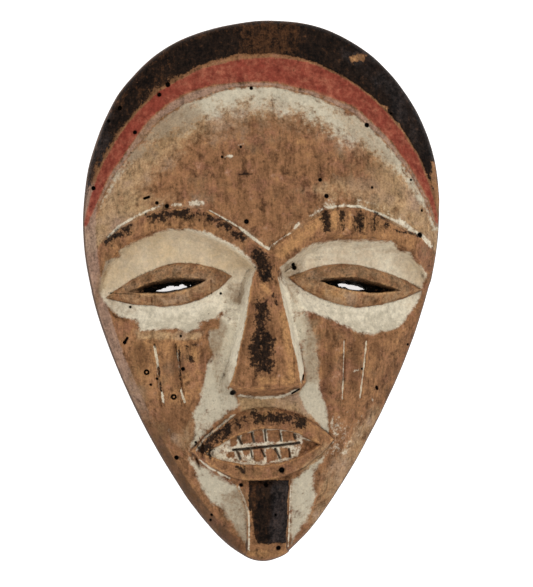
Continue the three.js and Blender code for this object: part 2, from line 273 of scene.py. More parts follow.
@dataclass(frozen=True)
class Dome:
    """The bulging front before anything is carved on it.

    Attributes:
        outline: The outline under the dome.
        edge_height: Height of the front's edge at mid-height.
        edge_rise: Change of that height towards the crown.
        crown: Height along the middle line over y.
        power: How flat the middle is.
    """

    outline: Outline
    edge_height: float = 17.5
    edge_rise: float = -2.5
    crown: Knots = (
        (-95.0, 33.0), (-70.0, 36.0), (-40.0, 37.0), (0.0, 35.5),
        (25.0, 36.5), (50.0, 34.5), (75.0, 29.0), (95.0, 25.0),
    )
    power: float = 2.5

    def height(self, x: Array, y: Array) -> Array:
        """Give the dome's height.

        Args:
            x: Plan place across.
            y: Plan place up.

        Returns:
            Heights over the rim.
        """
        X, Y = self.outline.disc(x, y)
        edge = self.edge_height + self.edge_rise * Y
        fall = np.clip(np.hypot(X, Y), 0.0, 1.1) ** self.power
        return edge + (curve(self.crown, y) - edge) * (1.0 - fall)


@dataclass(frozen=True)
class AlmondSpot:
    """Where points lie in an almond shape.

    Attributes:
        along: Distance along the middle line.
        across: Distance from the middle line.
        reach: Half height of the almond there.
        inside: Distance inside the edge, negative outside.
        swell: 0 at the edge, 1 in the middle.
    """

    along: Array
    across: Array
    reach: Array
    inside: Array
    swell: Array


@dataclass(frozen=True)
class Almond:
    """A pointed lens shape in plan, turned and with a bowed middle line.

    Attributes:
        x: Middle across.
        y: Middle up.
        half: Half the length.
        tall: Half the height.
        bow: Rise of the middle line.
        tilt: Turn in degrees.
        skew: How much fuller the right half is than the left.
    """

    x: float
    y: float
    half: float
    tall: float
    bow: float = 0.0
    tilt: float = 0.0
    skew: float = 0.0

    def spot(self, x: Array, y: Array) -> AlmondSpot:
        """Place points in the almond.

        Args:
            x: Plan place across.
            y: Plan place up.

        Returns:
            Their distances in the almond.
        """
        c, s = math.cos(math.radians(self.tilt)), math.sin(math.radians(self.tilt))
        along = (x - self.x) * c + (y - self.y) * s
        t = np.minimum(np.abs(along) / self.half, 1.0)
        across = (y - self.y) * c - (x - self.x) * s - self.bow * (1.0 - t * t)
        lean = self.skew * np.sign(along)
        reach = self.tall * (1.0 - t * t) * (1.0 + lean * t)
        past = np.abs(along) - self.half
        slope = self.tall * (lean * (1.0 - t * t) - 2.0 * t * (1.0 + lean * t)) / self.half
        within = (reach - np.abs(across)) / np.hypot(1.0, slope)
        inside = np.where(past > 0.0, -np.hypot(past, across), within)
        part = np.clip(np.abs(across) / np.maximum(reach, 1e-6), 0.0, 1.0)
        swell = np.where(inside > 0.0, np.sqrt(reach / self.tall) * (1.0 - part * part), 0.0)
        return AlmondSpot(along, across, reach, inside, swell)


@dataclass(frozen=True)
class HeadBands:
    """The forehead's edge, the lower band around it and the stepped-up hair band.

    Attributes:
        edge: Height of the forehead's edge over x.
        forehead_step: Step from the forehead down to the band.
        roll: How far the forehead rolls down towards its edge.
        roll_reach: Width of that roll.
        hair_x: Centre of the hair band's inner edge across.
        hair_y: Centre of the hair band's inner edge up.
        hair_half_width: Half width of that edge.
        hair_half_height: Half height of that edge.
        hair_step: Step up onto the hair band.
        foot: The bands fade out over these heights.
        paint_foot: Their paint ends between these heights.
    """

    edge: Knots = (
        (-61.5, 21.5), (-54.0, 37.0), (-47.1, 46.8), (-40.2, 55.0), (-33.3, 61.2), (-22.9, 66.7),
        (-12.5, 69.8), (-2.0, 70.7), (8.4, 69.7), (18.9, 66.7), (29.4, 62.0), (36.4, 57.0),
        (43.5, 49.8), (50.7, 40.2), (56.4, 31.4), (60.6, 22.5),
    )
    forehead_step: float = 1.1
    roll: float = 1.0
    roll_reach: float = 7.0
    hair_x: float = -0.4
    hair_y: float = 5.9
    hair_half_width: float = 64.7
    hair_half_height: float = 76.4
    hair_step: float = 0.8
    foot: Point = (8.0, 16.0)
    paint_foot: Point = (10.0, 14.0)

    def above_forehead(self, x: Array, y: Array) -> Array:
        """Measure the distance beyond the forehead's edge."""
        fall = curve(self.edge, x + 0.5) - curve(self.edge, x - 0.5)
        return (y - curve(self.edge, x)) / np.hypot(1.0, fall)

    def outside_hair(self, x: Array, y: Array) -> Array:
        """Measure the distance beyond the hair band's inner edge.

        Args:
            x: Plan place across.
            y: Plan place up.

        Returns:
            Distances, negative towards the face.
        """
        u, v = (x - self.hair_x) / self.hair_half_width, (y - self.hair_y) / self.hair_half_height
        r = np.hypot(u, v) + 1e-6
        return r * (r - 1.0) / np.hypot(u / self.hair_half_width, v / self.hair_half_height)

    def relief(self, x: Array, y: Array) -> Array:
        """Give the height that the bands add.

        Args:
            x: Plan place across.
            y: Plan place up.

        Returns:
            Heights, negative where the bands lie lower.
        """
        high = ease(*self.foot, y)
        above = self.above_forehead(x, y)
        on_band = ease(-0.5, 0.7, above)
        roll = self.roll * np.exp(np.minimum(above, 0.0) / self.roll_reach) * (1.0 - on_band)
        hair = self.hair_step * ease(-0.5, 0.5, self.outside_hair(x, y))
        return high * (hair - self.forehead_step * on_band - roll)


@dataclass(frozen=True)
class EyeSide:
    """The brow, socket, eyelid and slit on one side of the face.

    Attributes:
        brow_top: Upper edge of the brow over the distance from the middle line.
        brow_foot: Lower edge of the brow.
        cheek: Upper edge of the cheek.
        lid: The raised eyelids.
        slit: The trough cut between them.
        gaps: Where that trough breaks through to the back.
        nicks: Knife nicks across the lower lid, each from and to.
    """

    brow_top: Knots
    brow_foot: Knots
    cheek: Knots
    lid: Almond
    slit: Almond
    gaps: tuple[Almond, ...]
    nicks: tuple[tuple[Point, Point], ...] = ()


LEFT = EyeSide(
    brow_top=(
        (0.0, 13.3), (3.8, 15.2), (14.0, 22.6), (20.8, 26.7), (25.5, 28.0), (31.0, 28.1),
        (37.7, 27.2), (44.5, 24.6), (51.2, 21.3), (56.7, 16.9), (60.0, 12.5),
    ),
    brow_foot=(
        (0.0, 2.0), (3.6, 6.8), (12.6, 14.5), (26.1, 20.8),
        (32.8, 21.7), (46.2, 18.1), (55.5, 9.5), (60.0, -2.0),
    ),
    cheek=(
        (0.0, -8.0), (10.0, -10.0), (20.0, -16.0), (30.0, -17.5), (42.0, -17.3), (50.0, -15.5),
        (60.0, -4.0),
    ),
    lid=Almond(-33.9, 1.1, 21.9, 7.0, 0.35, 9.7, 0.22),
    slit=Almond(-34.9, 1.4, 13.6, 2.45, 0.0, 7.9, 0.25),
    gaps=(Almond(-31.3, 0.05, 6.6, 1.35, 0.0, 8.5), Almond(-38.3, -1.2, 2.4, 0.8, 0.0, 8.0)),
    nicks=(((-19.9, 3.1), (-19.4, -1.0)), ((-39.5, -2.8), (-39.4, -5.3))),
)
RIGHT = EyeSide(
    brow_top=(
        (0.0, 13.3), (3.1, 16.4), (13.5, 23.7), (20.6, 27.0), (27.7, 28.3), (34.0, 27.8),
        (40.5, 24.4), (46.0, 21.4), (52.9, 19.2), (58.1, 15.1), (60.0, 13.0),
    ),
    brow_foot=(
        (0.0, 2.0), (2.6, 7.0), (8.8, 12.7), (18.3, 18.3), (30.0, 18.6), (42.4, 17.4),
        (47.0, 15.2), (51.5, 12.2), (55.0, 7.5), (60.0, -2.0),
    ),
    cheek=(
        (0.0, -2.0), (9.0, -2.0), (12.6, -8.2), (26.0, -17.1), (35.6, -17.8), (46.0, -16.0),
        (60.0, 2.0),
    ),
    lid=Almond(31.8, 2.1, 24.6, 7.1, -0.8, -5.0, -0.17),
    slit=Almond(32.9, 1.5, 15.0, 2.4, 0.0, -6.8, -0.25),
    gaps=(Almond(31.6, 0.8, 4.0, 1.15, 0.0, -12.0), Almond(26.6, 1.6, 1.4, 0.7)),
)


@dataclass(frozen=True)
class Eyes:
    """Both brows, eye sockets, eyelids and eye slits.

    Attributes:
        left: The viewer's left side.
        right: The viewer's right side.
        middle: The face's middle line.
        brow_rise: How far the brows stand up.
        brow_fade: The brows run out over these distances from the middle line.
        groove_depth: Depth of the groove along the top of the brows.
        groove_width: Its half width.
        socket_depth: Depth of the eye sockets at the nose.
        socket_easing: How much shallower they get with each millimetre outwards.
        lid_edge: Step at the eyelids' edge.
        lid_crown: Swelling of the eyelids inside that step.
        slit_under: Steepness of the slit's lower wall.
        slit_over: Steepness of the slit's upper wall.
        slit_floor: Depth of the trough around the gap.
        slit_through: Depth that reaches the hollow.
        slit_ends: Where the troughs start to run out towards the temples.
        slit_fades: Over how much length they do so, left and right.
        slit_shallow: How much of their depth is lost there.
        slit_waver: Unevenness of their floor, and how much that grows at the temples.
        socket_sides: The sockets end between these distances from the middle line.
        socket_roots: They begin between these distances.
    """

    left: EyeSide = LEFT
    right: EyeSide = RIGHT
    middle: float = 0.6
    brow_rise: float = 1.5
    brow_fade: Point = (52.0, 60.0)
    groove_depth: float = 0.5
    groove_width: float = 0.9
    socket_depth: float = 6.4
    socket_easing: float = 0.035
    lid_edge: float = 1.0
    lid_crown: float = 2.6
    slit_under: float = 13.0
    slit_over: float = 3.2
    slit_floor: float = 6.5
    slit_through: float = 16.0
    slit_ends: Point = (-40.5, 42.0)
    slit_fades: Point = (6.0, 5.0)
    slit_shallow: float = 0.72
    slit_waver: Point = (0.12, 0.25)
    socket_sides: Point = (60.0, 53.0)
    socket_roots: Point = (1.5, 6.5)

    def sided(self, name: str, x: Array) -> Array:
        """Read a curve of whichever side each point is on.

        Args:
            name: Field name of the curve.
            x: Plan place across.

        Returns:
            The curve's values.
        """
        off = np.abs(x - self.middle)
        left, right = getattr(self.left, name), getattr(self.right, name)
        return np.where(x < self.middle, curve(left, off), curve(right, off))

    def brow_fading(self, x: Array) -> Array:
        """Give 1 over the brows, 0 beyond their outer ends."""
        return 1.0 - ease(*self.brow_fade, np.abs(x - self.middle))

    def brows(self, x: Array, y: Array) -> Array:
        """Give the height that the brows add.

        Args:
            x: Plan place across.
            y: Plan place up.

        Returns:
            Heights over the front.
        """
        under_top = self.sided("brow_top", x) - y
        under_foot = self.sided("brow_foot", x) - y
        rise = self.brow_rise * ease(-0.35, 0.5, under_top) * (1.0 - ease(-0.2, 2.5, under_foot))
        groove = self.groove_depth * bell(under_top + self.groove_width, self.groove_width)
        return self.brow_fading(x) * (rise - groove)

    def sockets(self, x: Array, y: Array) -> Array:
        """Give the depth of the eye sockets.

        Args:
            x: Plan place across.
            y: Plan place up.

        Returns:
            Depths below the front.
        """
        off = np.abs(x - self.middle)
        under_foot = self.sided("brow_foot", x) - y
        over_cheek = y - self.sided("cheek", x)
        depth = self.socket_depth - self.socket_easing * off
        sides = ease(*self.socket_sides, off) * ease(*self.socket_roots, off)
        return depth * ease(-0.2, 4.5, under_foot) * ease(0.0, 9.0, over_cheek) * sides

    def eyelids(self, x: Array, y: Array) -> Array:
        """Give the height that the eyelids add.

        Args:
            x: Plan place across.
            y: Plan place up.

        Returns:
            Heights over the sockets.
        """
        total = np.zeros_like(x)
        for side in (self.left, self.right):
            lid = side.lid.spot(x, y)
            total += self.lid_edge * ease(-0.3, 0.7, lid.inside) + self.lid_crown * lid.swell
        return total

    def slit_fading(self, x: Array) -> Array:
        """Give 1 where the eye slits run out to the temples, 0 elsewhere."""
        (left, right), (left_fade, right_fade) = self.slit_ends, self.slit_fades
        return np.maximum(ease(left, left - left_fade, x), ease(right, right + right_fade, x))

    def slits(self, x: Array, y: Array) -> Array:
        """Give the depth of the eye slits, which break through at their deepest.

        Args:
            x: Plan place across.
            y: Plan place up.

        Returns:
            Depths below the eyelids.
        """
        total = np.zeros_like(x)
        ragged = 0.5 * Hills(11).read(x, y, 1.1) + 0.3 * Hills(12).read(x, y, 0.45)
        shallow = self.slit_fading(x)
        for side in (self.left, self.right):
            slit = side.slit.spot(x, y)
            gap = np.max([gap.spot(x, y).inside for gap in side.gaps], axis=0)
            under = np.maximum(slit.reach + slit.across, 0.0)
            over = np.maximum(slit.reach - slit.across, 0.0)
            floor = self.slit_floor * np.sqrt(slit.reach / side.slit.tall)
            floor = floor * (1.0 - self.slit_shallow * shallow)
            floor = floor + self.slit_through * ease(-0.2, 0.4, gap + ragged)
            deep = np.minimum(np.minimum(self.slit_under * under, self.slit_over * over), floor)
            waver = self.slit_waver[0] + self.slit_waver[1] * shallow
            total += np.where(slit.inside > 0.0, deep * (1.0 + waver * ragged), 0.0)
        return total


@dataclass(frozen=True)
class Nose:
    """A wedge from the brows to a cut-off tip, with a valley beside it.

    Attributes:
        half: Half width of the front over y.
        middle: Middle line of the front over y.
        rise: Height of the front over the dome.
        root: The nose sinks into the forehead above this height.
        root_fall: Steepness of that sinking.
        crease: How far the front's edges lie below its middle line.
        left_slope: Steepness of the left side.
        right_slope: Steepness of the right side.
        tip: Lower end of the front.
        tip_curl: How far the tip's corners lie above its middle.
        tip_slope: Steepness below the tip.
        blend: Height over which the sides run into the ground.
        valley_depth: Depth of the valleys beside the nose.
        valley_offset: Distance of a valley's middle from the front.
        valley_width: Half width of a valley.
    """

    half: Knots = (
        (-35.0, 13.1), (-31.8, 12.1), (-28.5, 11.1), (-22.5, 9.7), (-15.0, 8.1), (-11.4, 7.4),
        (-3.4, 5.8), (0.3, 5.1), (7.2, 3.3), (14.0, 2.2),
    )
    middle: Knots = (
        (-35.0, -2.4), (-31.0, -2.0), (-28.5, -1.6), (-22.5, -1.3), (-11.0, -1.4), (0.0, -1.7),
        (7.2, -1.2), (14.0, 0.3),
    )
    rise: Knots = ((-36.0, 11.0), (-20.0, 8.6), (0.0, 4.6), (10.0, 2.0), (14.0, 1.3))
    root: float = 16.0
    root_fall: float = 2.0
    crease: float = 1.5
    left_slope: float = 4.6
    right_slope: float = 3.3
    tip: float = -33.4
    tip_curl: float = 1.7
    tip_slope: float = 3.1
    blend: float = 0.7
    valley_depth: float = 2.0
    valley_offset: float = 3.0
    valley_width: float = 5.0

    def off_front(self, x: Array, y: Array) -> Array:
        """Measure the distance beyond the sides of the nose's front."""
        return np.abs(x - curve(self.middle, y)) - curve(self.half, y)

    def below_tip(self, x: Array, y: Array) -> Array:
        """Measure the distance below the curved edge of the tip."""
        t = np.minimum(np.abs(x - curve(self.middle, y)) / curve(self.half, y), 1.0)
        return self.tip + self.tip_curl * t * t - y

    def surface(self, x: Array, y: Array, dome: Dome) -> Array:
        """Give the height of the wedge.

        Args:
            x: Plan place across.
            y: Plan place up.
            dome: The front that the nose rises from.

        Returns:
            The wedge's heights, below the front outside it.
        """
        middle = curve(self.middle, y)
        t = np.minimum(np.abs(x - middle) / curve(self.half, y), 1.0)
        ridge = dome.height(middle, np.maximum(y, self.tip)) + curve(self.rise, y)
        slope = np.where(x < middle, self.left_slope, self.right_slope)
        sides = slope * np.maximum(self.off_front(x, y), 0.0)
        under = self.tip_slope * np.maximum(self.below_tip(x, y), 0.0)
        root = self.root_fall * np.maximum(y - self.root, 0.0)
        return ridge - self.crease * t * t - sides - under - root

    def valley(self, x: Array, y: Array) -> Array:
        """Give the depth of the valleys beside the nose.

        Args:
            x: Plan place across.
            y: Plan place up.

        Returns:
            Depths below the front.
        """
        off = self.off_front(x, y) - self.valley_offset
        ends = ease(-50.0, -30.0, y) * ease(14.0, 4.0, y)
        return self.valley_depth * bell(off, self.valley_width) * ends


@dataclass(frozen=True)
class KnifeCut:
    """A straight cut made with a knife.

    Attributes:
        start: One end in plan.
        end: The other end.
        width: Half width at the surface.
        depth: Depth of the cut.
    """

    start: Point
    end: Point
    width: float = 0.45
    depth: float = 0.9

    def off(self, x: Array, y: Array) -> Array:
        """Measure the distance from the cut's line.

        Args:
            x: Plan place across.
            y: Plan place up.

        Returns:
            Distances in plan.
        """
        (x0, y0), (x1, y1) = self.start, self.end
        dx, dy = x1 - x0, y1 - y0
        t = np.clip(((x - x0) * dx + (y - y0) * dy) / (dx * dx + dy * dy), 0.0, 1.0)
        return np.hypot(x - x0 - t * dx, y - y0 - t * dy)

    def sunk(self, x: Array, y: Array) -> Array:
        """Give the depth of the cut."""
        return self.depth * np.clip(1.0 - self.off(x, y) / self.width, 0.0, 1.0)


@dataclass(frozen=True)
class Mouth:
    """Raised lips round a sunk field of teeth.

    Attributes:
        lips: Outer edge of the lips.
        teeth: Inner edge of the lips.
        lip_edge: Step at the lips' outer edge.
        lip_crown: Swelling of the lips.
        teeth_sink: How far the teeth lie below the lips.
        bite: Cut between the rows of teeth.
        cuts: Cuts between the teeth.
        nicks: Knife nicks across the lip.
    """

    lips: Almond = Almond(-1.7, -53.7, 25.0, 12.8, 0.6, 4.8)
    teeth: Almond = Almond(-1.9, -54.8, 19.7, 6.5, 1.1, 4.8, 0.06)
    lip_edge: float = 1.6
    lip_crown: float = 3.6
    teeth_sink: float = 3.2
    bite: KnifeCut = KnifeCut((-12.1, -54.9), (10.6, -52.5), 0.6, 1.6)
    cuts: tuple[KnifeCut, ...] = (
        KnifeCut((-10.6, -49.6), (-9.3, -52.6), 0.65, 1.1),
        KnifeCut((-5.8, -48.9), (-4.9, -52.1), 0.4, 0.9),
        KnifeCut((-1.4, -47.2), (-1.0, -51.7), 0.4, 0.7),
        KnifeCut((3.8, -49.3), (4.2, -51.8), 0.35, 0.6),
        KnifeCut((8.9, -49.8), (9.2, -51.0), 0.7, 0.9),
        KnifeCut((-11.0, -55.0), (-9.6, -58.0), 0.75, 1.2),
        KnifeCut((-6.1, -54.8), (-5.5, -57.3), 0.35, 0.7),
        KnifeCut((-2.3, -54.7), (-1.2, -57.1), 0.45, 0.9),
        KnifeCut((2.3, -54.5), (4.0, -57.7), 0.6, 1.1),
        KnifeCut((7.2, -54.6), (7.6, -57.4), 0.35, 0.6),
    )
    nicks: tuple[KnifeCut, ...] = (
        KnifeCut((-22.5, -52.1), (-22.0, -58.4), 0.9, 1.6),
        KnifeCut((-24.1, -58.4), (-23.0, -61.2), 0.7, 1.1),
    )

    def relief(self, x: Array, y: Array) -> Array:
        """Give the height that the mouth adds.

        Args:
            x: Plan place across.
            y: Plan place up.

        Returns:
            Heights over the front.
        """
        lips, teeth = self.lips.spot(x, y), self.teeth.spot(x, y)
        rise = self.lip_edge * ease(-0.4, 0.8, lips.inside) + self.lip_crown * np.sqrt(lips.swell)
        sink = self.teeth_sink * ease(-0.3, 0.9, teeth.inside)
        cuts = sum(cut.sunk(x, y) for cut in (self.bite, *self.cuts, *self.nicks))
        return rise - sink - cuts


@dataclass(frozen=True)
class Beard:
    """A narrow raised block down the chin.

    Attributes:
        x: Middle of the block.
        half: Half its width.
        top: Its upper end.
        rise: Height of its sides.
        ridge: Extra height of its middle.
        flank: Width of its sloping left side over y.
        right_flank: Width of its right side.
        valley_depth: Depth of the valleys beside it.
        valley_width: Their half width.
    """

    x: float = 0.5
    half: float = 7.1
    top: float = -65.3
    rise: float = 1.9
    ridge: float = 0.8
    flank: Knots = ((-90.0, 0.6), (-77.0, 0.6), (-68.0, 3.6))
    right_flank: float = 0.4
    valley_depth: float = 0.9
    valley_width: float = 4.0

    def inside(self, x: Array, y: Array) -> Array:
        """Measure the distance inside the block's edges."""
        return np.minimum(self.half - np.abs(x - self.x), self.top - y)

    def relief(self, x: Array, y: Array) -> Array:
        """Give the height that the block and the valleys beside it add.

        Args:
            x: Plan place across.
            y: Plan place up.

        Returns:
            Heights over the front.
        """
        off = np.abs(x - self.x)
        flank = np.where(x < self.x, curve(self.flank, y), self.right_flank)
        up_flank = ease(0.0, 1.0, (self.half - off + flank) / (flank + self.right_flank))
        on_block = up_flank * ease(0.0, 3.0, self.top - y)
        rise = self.rise + self.ridge * (1.0 - off / self.half)
        block = rise * on_block * ease(-96.0, -88.0, y)
        valley = self.valley_depth * bell(off - self.half, self.valley_width) * (1.0 - on_block)
        return block - valley * ease(-66.0, -72.0, y) * ease(-95.0, -88.0, y)


@dataclass(frozen=True)
class Wormholes:
    """Round flight holes of wood beetles and a few longer scars.

    Attributes:
        places: Middles of the round holes.
        small: Middles of smaller holes.
        wide: Middles of larger holes.
        plugged: Middles of holes filled with dust, which show as dark rings.
        slots: Short slanting holes, each from and to.
        radius: Radius of a round hole.
        uneven: Least and greatest share of that radius.
        small_share: Size of a smaller hole, or half width of a slanting one, as such a share.
        wide_share: Size of a larger hole as such a share.
        plug_ring: Radius, as such a share, and half width of the ring around a plug.
        depth: Depth that can be seen.
    """

    places: tuple[Point, ...] = (
        (-5.0, 70.1), (-36.8, 67.9), (-33.8, 71.4), (-45.3, 54.7), (-50.4, 63.3), (-54.2, 58.8),
        (-59.6, 35.4), (35.4, 57.5), (17.9, 37.9), (20.0, 32.3), (-38.1, 29.9), (-34.7, 28.8),
        (-7.8, 23.4), (-29.2, -27.1), (-30.9, -58.1), (-9.0, -67.2), (-0.6, -67.1),
        (4.4, -89.6), (8.9, 8.8), (9.35, 7.7), (-48.9, -18.2),
    )
    small: tuple[Point, ...] = (
        (-15.8, 45.7), (-9.3, 49.2), (44.4, 61.8), (51.1, 38.5), (36.4, 35.5), (55.1, 27.8),
        (-46.9, -5.9), (-30.0, -15.8), (-16.1, -1.2), (50.5, -19.1), (-24.6, -52.5),
        (-18.7, -78.1), (-19.0, -80.0), (3.0, -77.7), (33.0, -27.3), (-37.9, -30.6), (-40.0, -32.7),
    )
    wide: tuple[Point, ...] = ((54.3, 19.2), (4.5, -61.7), (-12.6, -35.0))
    plugged: tuple[Point, ...] = ((-41.4, -28.4), (-32.2, -36.8))
    slots: tuple[tuple[Point, Point], ...] = (
        ((-42.3, 31.5), (-40.8, 32.0)), ((-48.9, -18.2), (-48.0, -16.6)),
        ((11.7, -29.3), (11.3, -30.5)), ((10.0, -33.9), (7.9, -35.3)),
        ((38.7, -33.8), (39.1, -34.5)),
    )
    radius: float = 0.72
    uneven: Point = (0.85, 1.15)
    small_share: float = 0.6
    wide_share: float = 1.35
    plug_ring: Point = (0.95, 0.3)
    depth: float = 1.3

    def inside(self, x: Array, y: Array) -> Array:
        """Measure the distance inside the nearest hole's edge.

        Args:
            x: Plan place across.
            y: Plan place up.

        Returns:
            Distances, negative outside every hole and at least -6.
        """
        best = np.full(x.shape, -6.0)
        least, greatest = self.uneven
        shares = [least + (greatest - least) * ((k * 7) % 5) / 4.0 for k in range(len(self.places))]
        holes = [*zip(self.places, shares), *((place, self.small_share) for place in self.small)]
        holes += [(place, self.wide_share) for place in self.wide]
        for (px, py), share in holes:
            best = np.maximum(best, self.radius * share - np.hypot(x - px, y - py))
        ring, ring_width = self.plug_ring
        for px, py in self.plugged:
            off_ring = np.hypot(x - px, y - py) - ring * self.radius
            best = np.maximum(best, ring_width - np.abs(off_ring))
        for start, end in self.slots:
            best = np.maximum(best, self.small_share * self.radius - KnifeCut(start, end).off(x, y))
        return best

    def sunk(self, x: Array, y: Array) -> Array:
        """Give the depth of the holes."""
        return self.depth * ease(-0.15, 0.35, self.inside(x, y))


@dataclass(frozen=True)
class CarvedFront:
    """The whole front surface.

    Attributes:
        outline: Outline in plan.
        dome: The bulge under the carving.
        bands: Forehead edge and head bands.
        eyes: Brows, sockets, lids and slits.
        nose: Nose wedge.
        mouth: Lips and teeth.
        beard: Chin block.
        scars: Straight cuts down the cheeks.
        wormholes: Beetle holes.
        wavers: Strength and size of the wavering of carved edges.
        facets: Height, size and stretch of the knife's facets.
    """

    outline: Outline = Outline()
    dome: Dome = Dome(Outline())
    bands: HeadBands = HeadBands()
    eyes: Eyes = Eyes()
    nose: Nose = Nose()
    mouth: Mouth = Mouth()
    beard: Beard = Beard()
    scars: tuple[KnifeCut, ...] = (
        KnifeCut((-39.0, -18.7), (-36.2, -40.4), 0.6, 0.9),
        KnifeCut((-31.6, -18.7), (-28.4, -40.4), 0.55, 0.9),
        KnifeCut((26.5, -17.2), (26.3, -38.2), 0.55, 0.9),
        KnifeCut((34.6, -17.2), (32.7, -37.6), 0.6, 0.9),
    )
    wormholes: Wormholes = Wormholes()
    wavers: tuple[Point, Point] = ((0.3, 6.0), (0.12, 1.6))
    facets: tuple[tuple[float, float, float], ...] = ((0.16, 5.0, 1.6), (0.05, 1.2, 2.5))

    def handmade(self, x: Array, y: Array) -> tuple[Array, Array]:
        """Shift points slightly so that every carved edge wavers.

        Args:
            x: Plan place across.
            y: Plan place up.

        Returns:
            The shifted places.
        """
        dx, dy = (
            sum(far * Hills(seed + k).read(x, y, size) for k, (far, size) in enumerate(self.wavers))
            for seed in (1, 3)
        )
        return x + dx, y + dy

    def form(self, x: Array, y: Array) -> Array:
        """Give the height of the carved front without its wear.

        Args:
            x: Plan place across.
            y: Plan place up.

        Returns:
            Heights over the rim.
        """
        ground = self.dome.height(x, y) + self.bands.relief(x, y) + self.eyes.brows(x, y)
        ground += self.eyes.eyelids(x, y) - self.eyes.sockets(x, y) - self.nose.valley(x, y)
        front = blended_max(ground, self.nose.surface(x, y, self.dome), self.nose.blend)
        front += self.mouth.relief(x, y) + self.beard.relief(x, y)
        nicks = (*self.eyes.left.nicks, *self.eyes.right.nicks)
        for cut in (*self.scars, *(KnifeCut(*ends, width=0.4) for ends in nicks)):
            front -= cut.sunk(x, y)
        return front - self.eyes.slits(x, y)

    def height(self, x: Array, y: Array) -> Array:
        """Give the height of the front as it is now, without its wormholes.

        Args:
            x: Plan place across.
            y: Plan place up.

        Returns:
            Heights over the rim.
        """
        front = self.form(*self.handmade(x, y))
        facets = (
            height * Hills(5 + k).read(x, y, size, stretch)
            for k, (height, size, stretch) in enumerate(self.facets)
        )
        return front + sum(facets)


@dataclass(frozen=True)
class Shell:
    """The closed block of the mask and the hollow that is gouged out of its back.

    Attributes:
        front: The carved front.
        collar: Share of the net's square that makes the side wall.
        shoulder_share: Share of the collar that makes the shoulder.
        rim: Width of the flat rim.
        hollow_depth: Depth of the hollow.
        hollow_power: How flat the hollow's ceiling is.
        hollow_reach: How far past the rim plane the hollow's net runs.
        gouge: Width, length and depth of a gouge mark in the hollow.
    """

    front: CarvedFront = CarvedFront()
    collar: float = 0.125
    shoulder_share: float = 0.4
    rim: float = 8.5
    hollow_depth: float = 27.0
    hollow_power: float = 3.5
    hollow_reach: float = 1.05
    gouge: tuple[float, float, float] = (7.0, 17.0, 1.5)

    @staticmethod
    def square_to_disc(a: Array, b: Array) -> tuple[Array, Array]:
        """Press the square -1..1 round into the unit disc."""
        return a * np.sqrt(1.0 - b * b / 2.0), b * np.sqrt(1.0 - a * a / 2.0)

    def carved_point(self, a: Array, b: Array) -> Array:
        """Find points of the front and side wall.

        Args:
            a: Square place across.
            b: Square place up.

        Returns:
            Points stacked along the last axis.
        """
        outline = self.front.outline
        around = np.maximum(np.abs(a), np.abs(b))
        scale = np.maximum(around, 1.0 - self.collar)
        X, Y = self.square_to_disc(a / scale, b / scale)
        x, y = outline.plan(X, Y)
        z = self.front.height(x, y)
        down = np.clip((around - 1.0 + self.collar) / self.collar, 0.0, 1.0)
        start = math.radians(outline.shoulder_start)
        angle = start + (math.pi / 2.0 - start) * np.minimum(down / self.shoulder_share, 1.0)
        wall = np.maximum((down - self.shoulder_share) / (1.0 - self.shoulder_share), 0.0)
        out = outline.shoulder_radius * (np.sin(angle) - math.sin(start)) - outline.tuck * wall**2
        drop = outline.shoulder_radius * (math.cos(start) - np.cos(angle))
        side_x, side_y = outline.outward(X, Y)
        z = z - self.front.wormholes.sunk(x + side_x * out, y + side_y * out) * (wall <= 0.0)
        height = (z - drop) * (1.0 - wall)
        worn = 0.16 * Hills(7).read(outline.half_width * np.arctan2(Y, X), height, 7.0) - 0.16
        out = out + worn * ease(0.0, 0.3, down)
        return np.stack([x + side_x * out, y + side_y * out, height], axis=-1)

    def ceiling(self, X: Array, Y: Array) -> Array:
        """Give the hollow's ceiling height over its own disc."""
        return self.hollow_depth * (1.0 - np.hypot(X, Y) ** self.hollow_power)

    def hollow_point(self, a: Array, b: Array) -> Array:
        """Find points of the hollow, with the shallow scoops that a gouge leaves.

        Args:
            a: Square place across.
            b: Square place up.

        Returns:
            Points stacked along the last axis.
        """
        X, Y = (part * self.hollow_reach for part in self.square_to_disc(a, b))
        x, y = self.front.outline.plan(X, Y, self.rim)
        inner = ease(1.0, 0.9, np.hypot(X, Y))
        shift = 0.5 * Hills(8, 64).read(x, y, 30.0)
        width, length, depth = self.gouge
        lane = (x + 2.0 * Hills(9, 64).read(x, y, 40.0)) / width + shift
        along = y / length + 0.43 * np.floor(lane)
        scoop = (lane - np.floor(lane) - 0.5) ** 2 + 0.5 * (along - np.floor(along) - 0.5) ** 2
        rough = 0.15 + 0.12 * Hills(10).read(x, y, 1.4, 5.0)
        z = self.ceiling(X, Y) - inner * (depth * scoop + rough)
        return np.stack([x, y, z], axis=-1)


# Nets of triangles


@dataclass
class Net:
    """Points and triangles.

    Attributes:
        points: One row of x, y, z for each point.
        triangles: One row of three point numbers for each triangle.
    """

    points: Array
    triangles: Array

    def closed(self) -> "Net":
        """Close the open edge with a flat fan.

        Returns:
            The closed net.
        """
        corners = np.concatenate([self.triangles[:, [k, (k + 1) % 3]] for k in range(3)])
        count = len(self.points)
        forward = corners[:, 0] * count + corners[:, 1]
        backward = corners[:, 1] * count + corners[:, 0]
        rim = corners[~np.isin(backward, forward)]
        centre = np.array([[0.0, 0.0, self.points[rim[0, 0], 2]]])
        fan = np.column_stack([rim[:, 1], rim[:, 0], np.full(len(rim), count)])
        return Net(np.vstack([self.points, centre]), np.vstack([self.triangles, fan]))


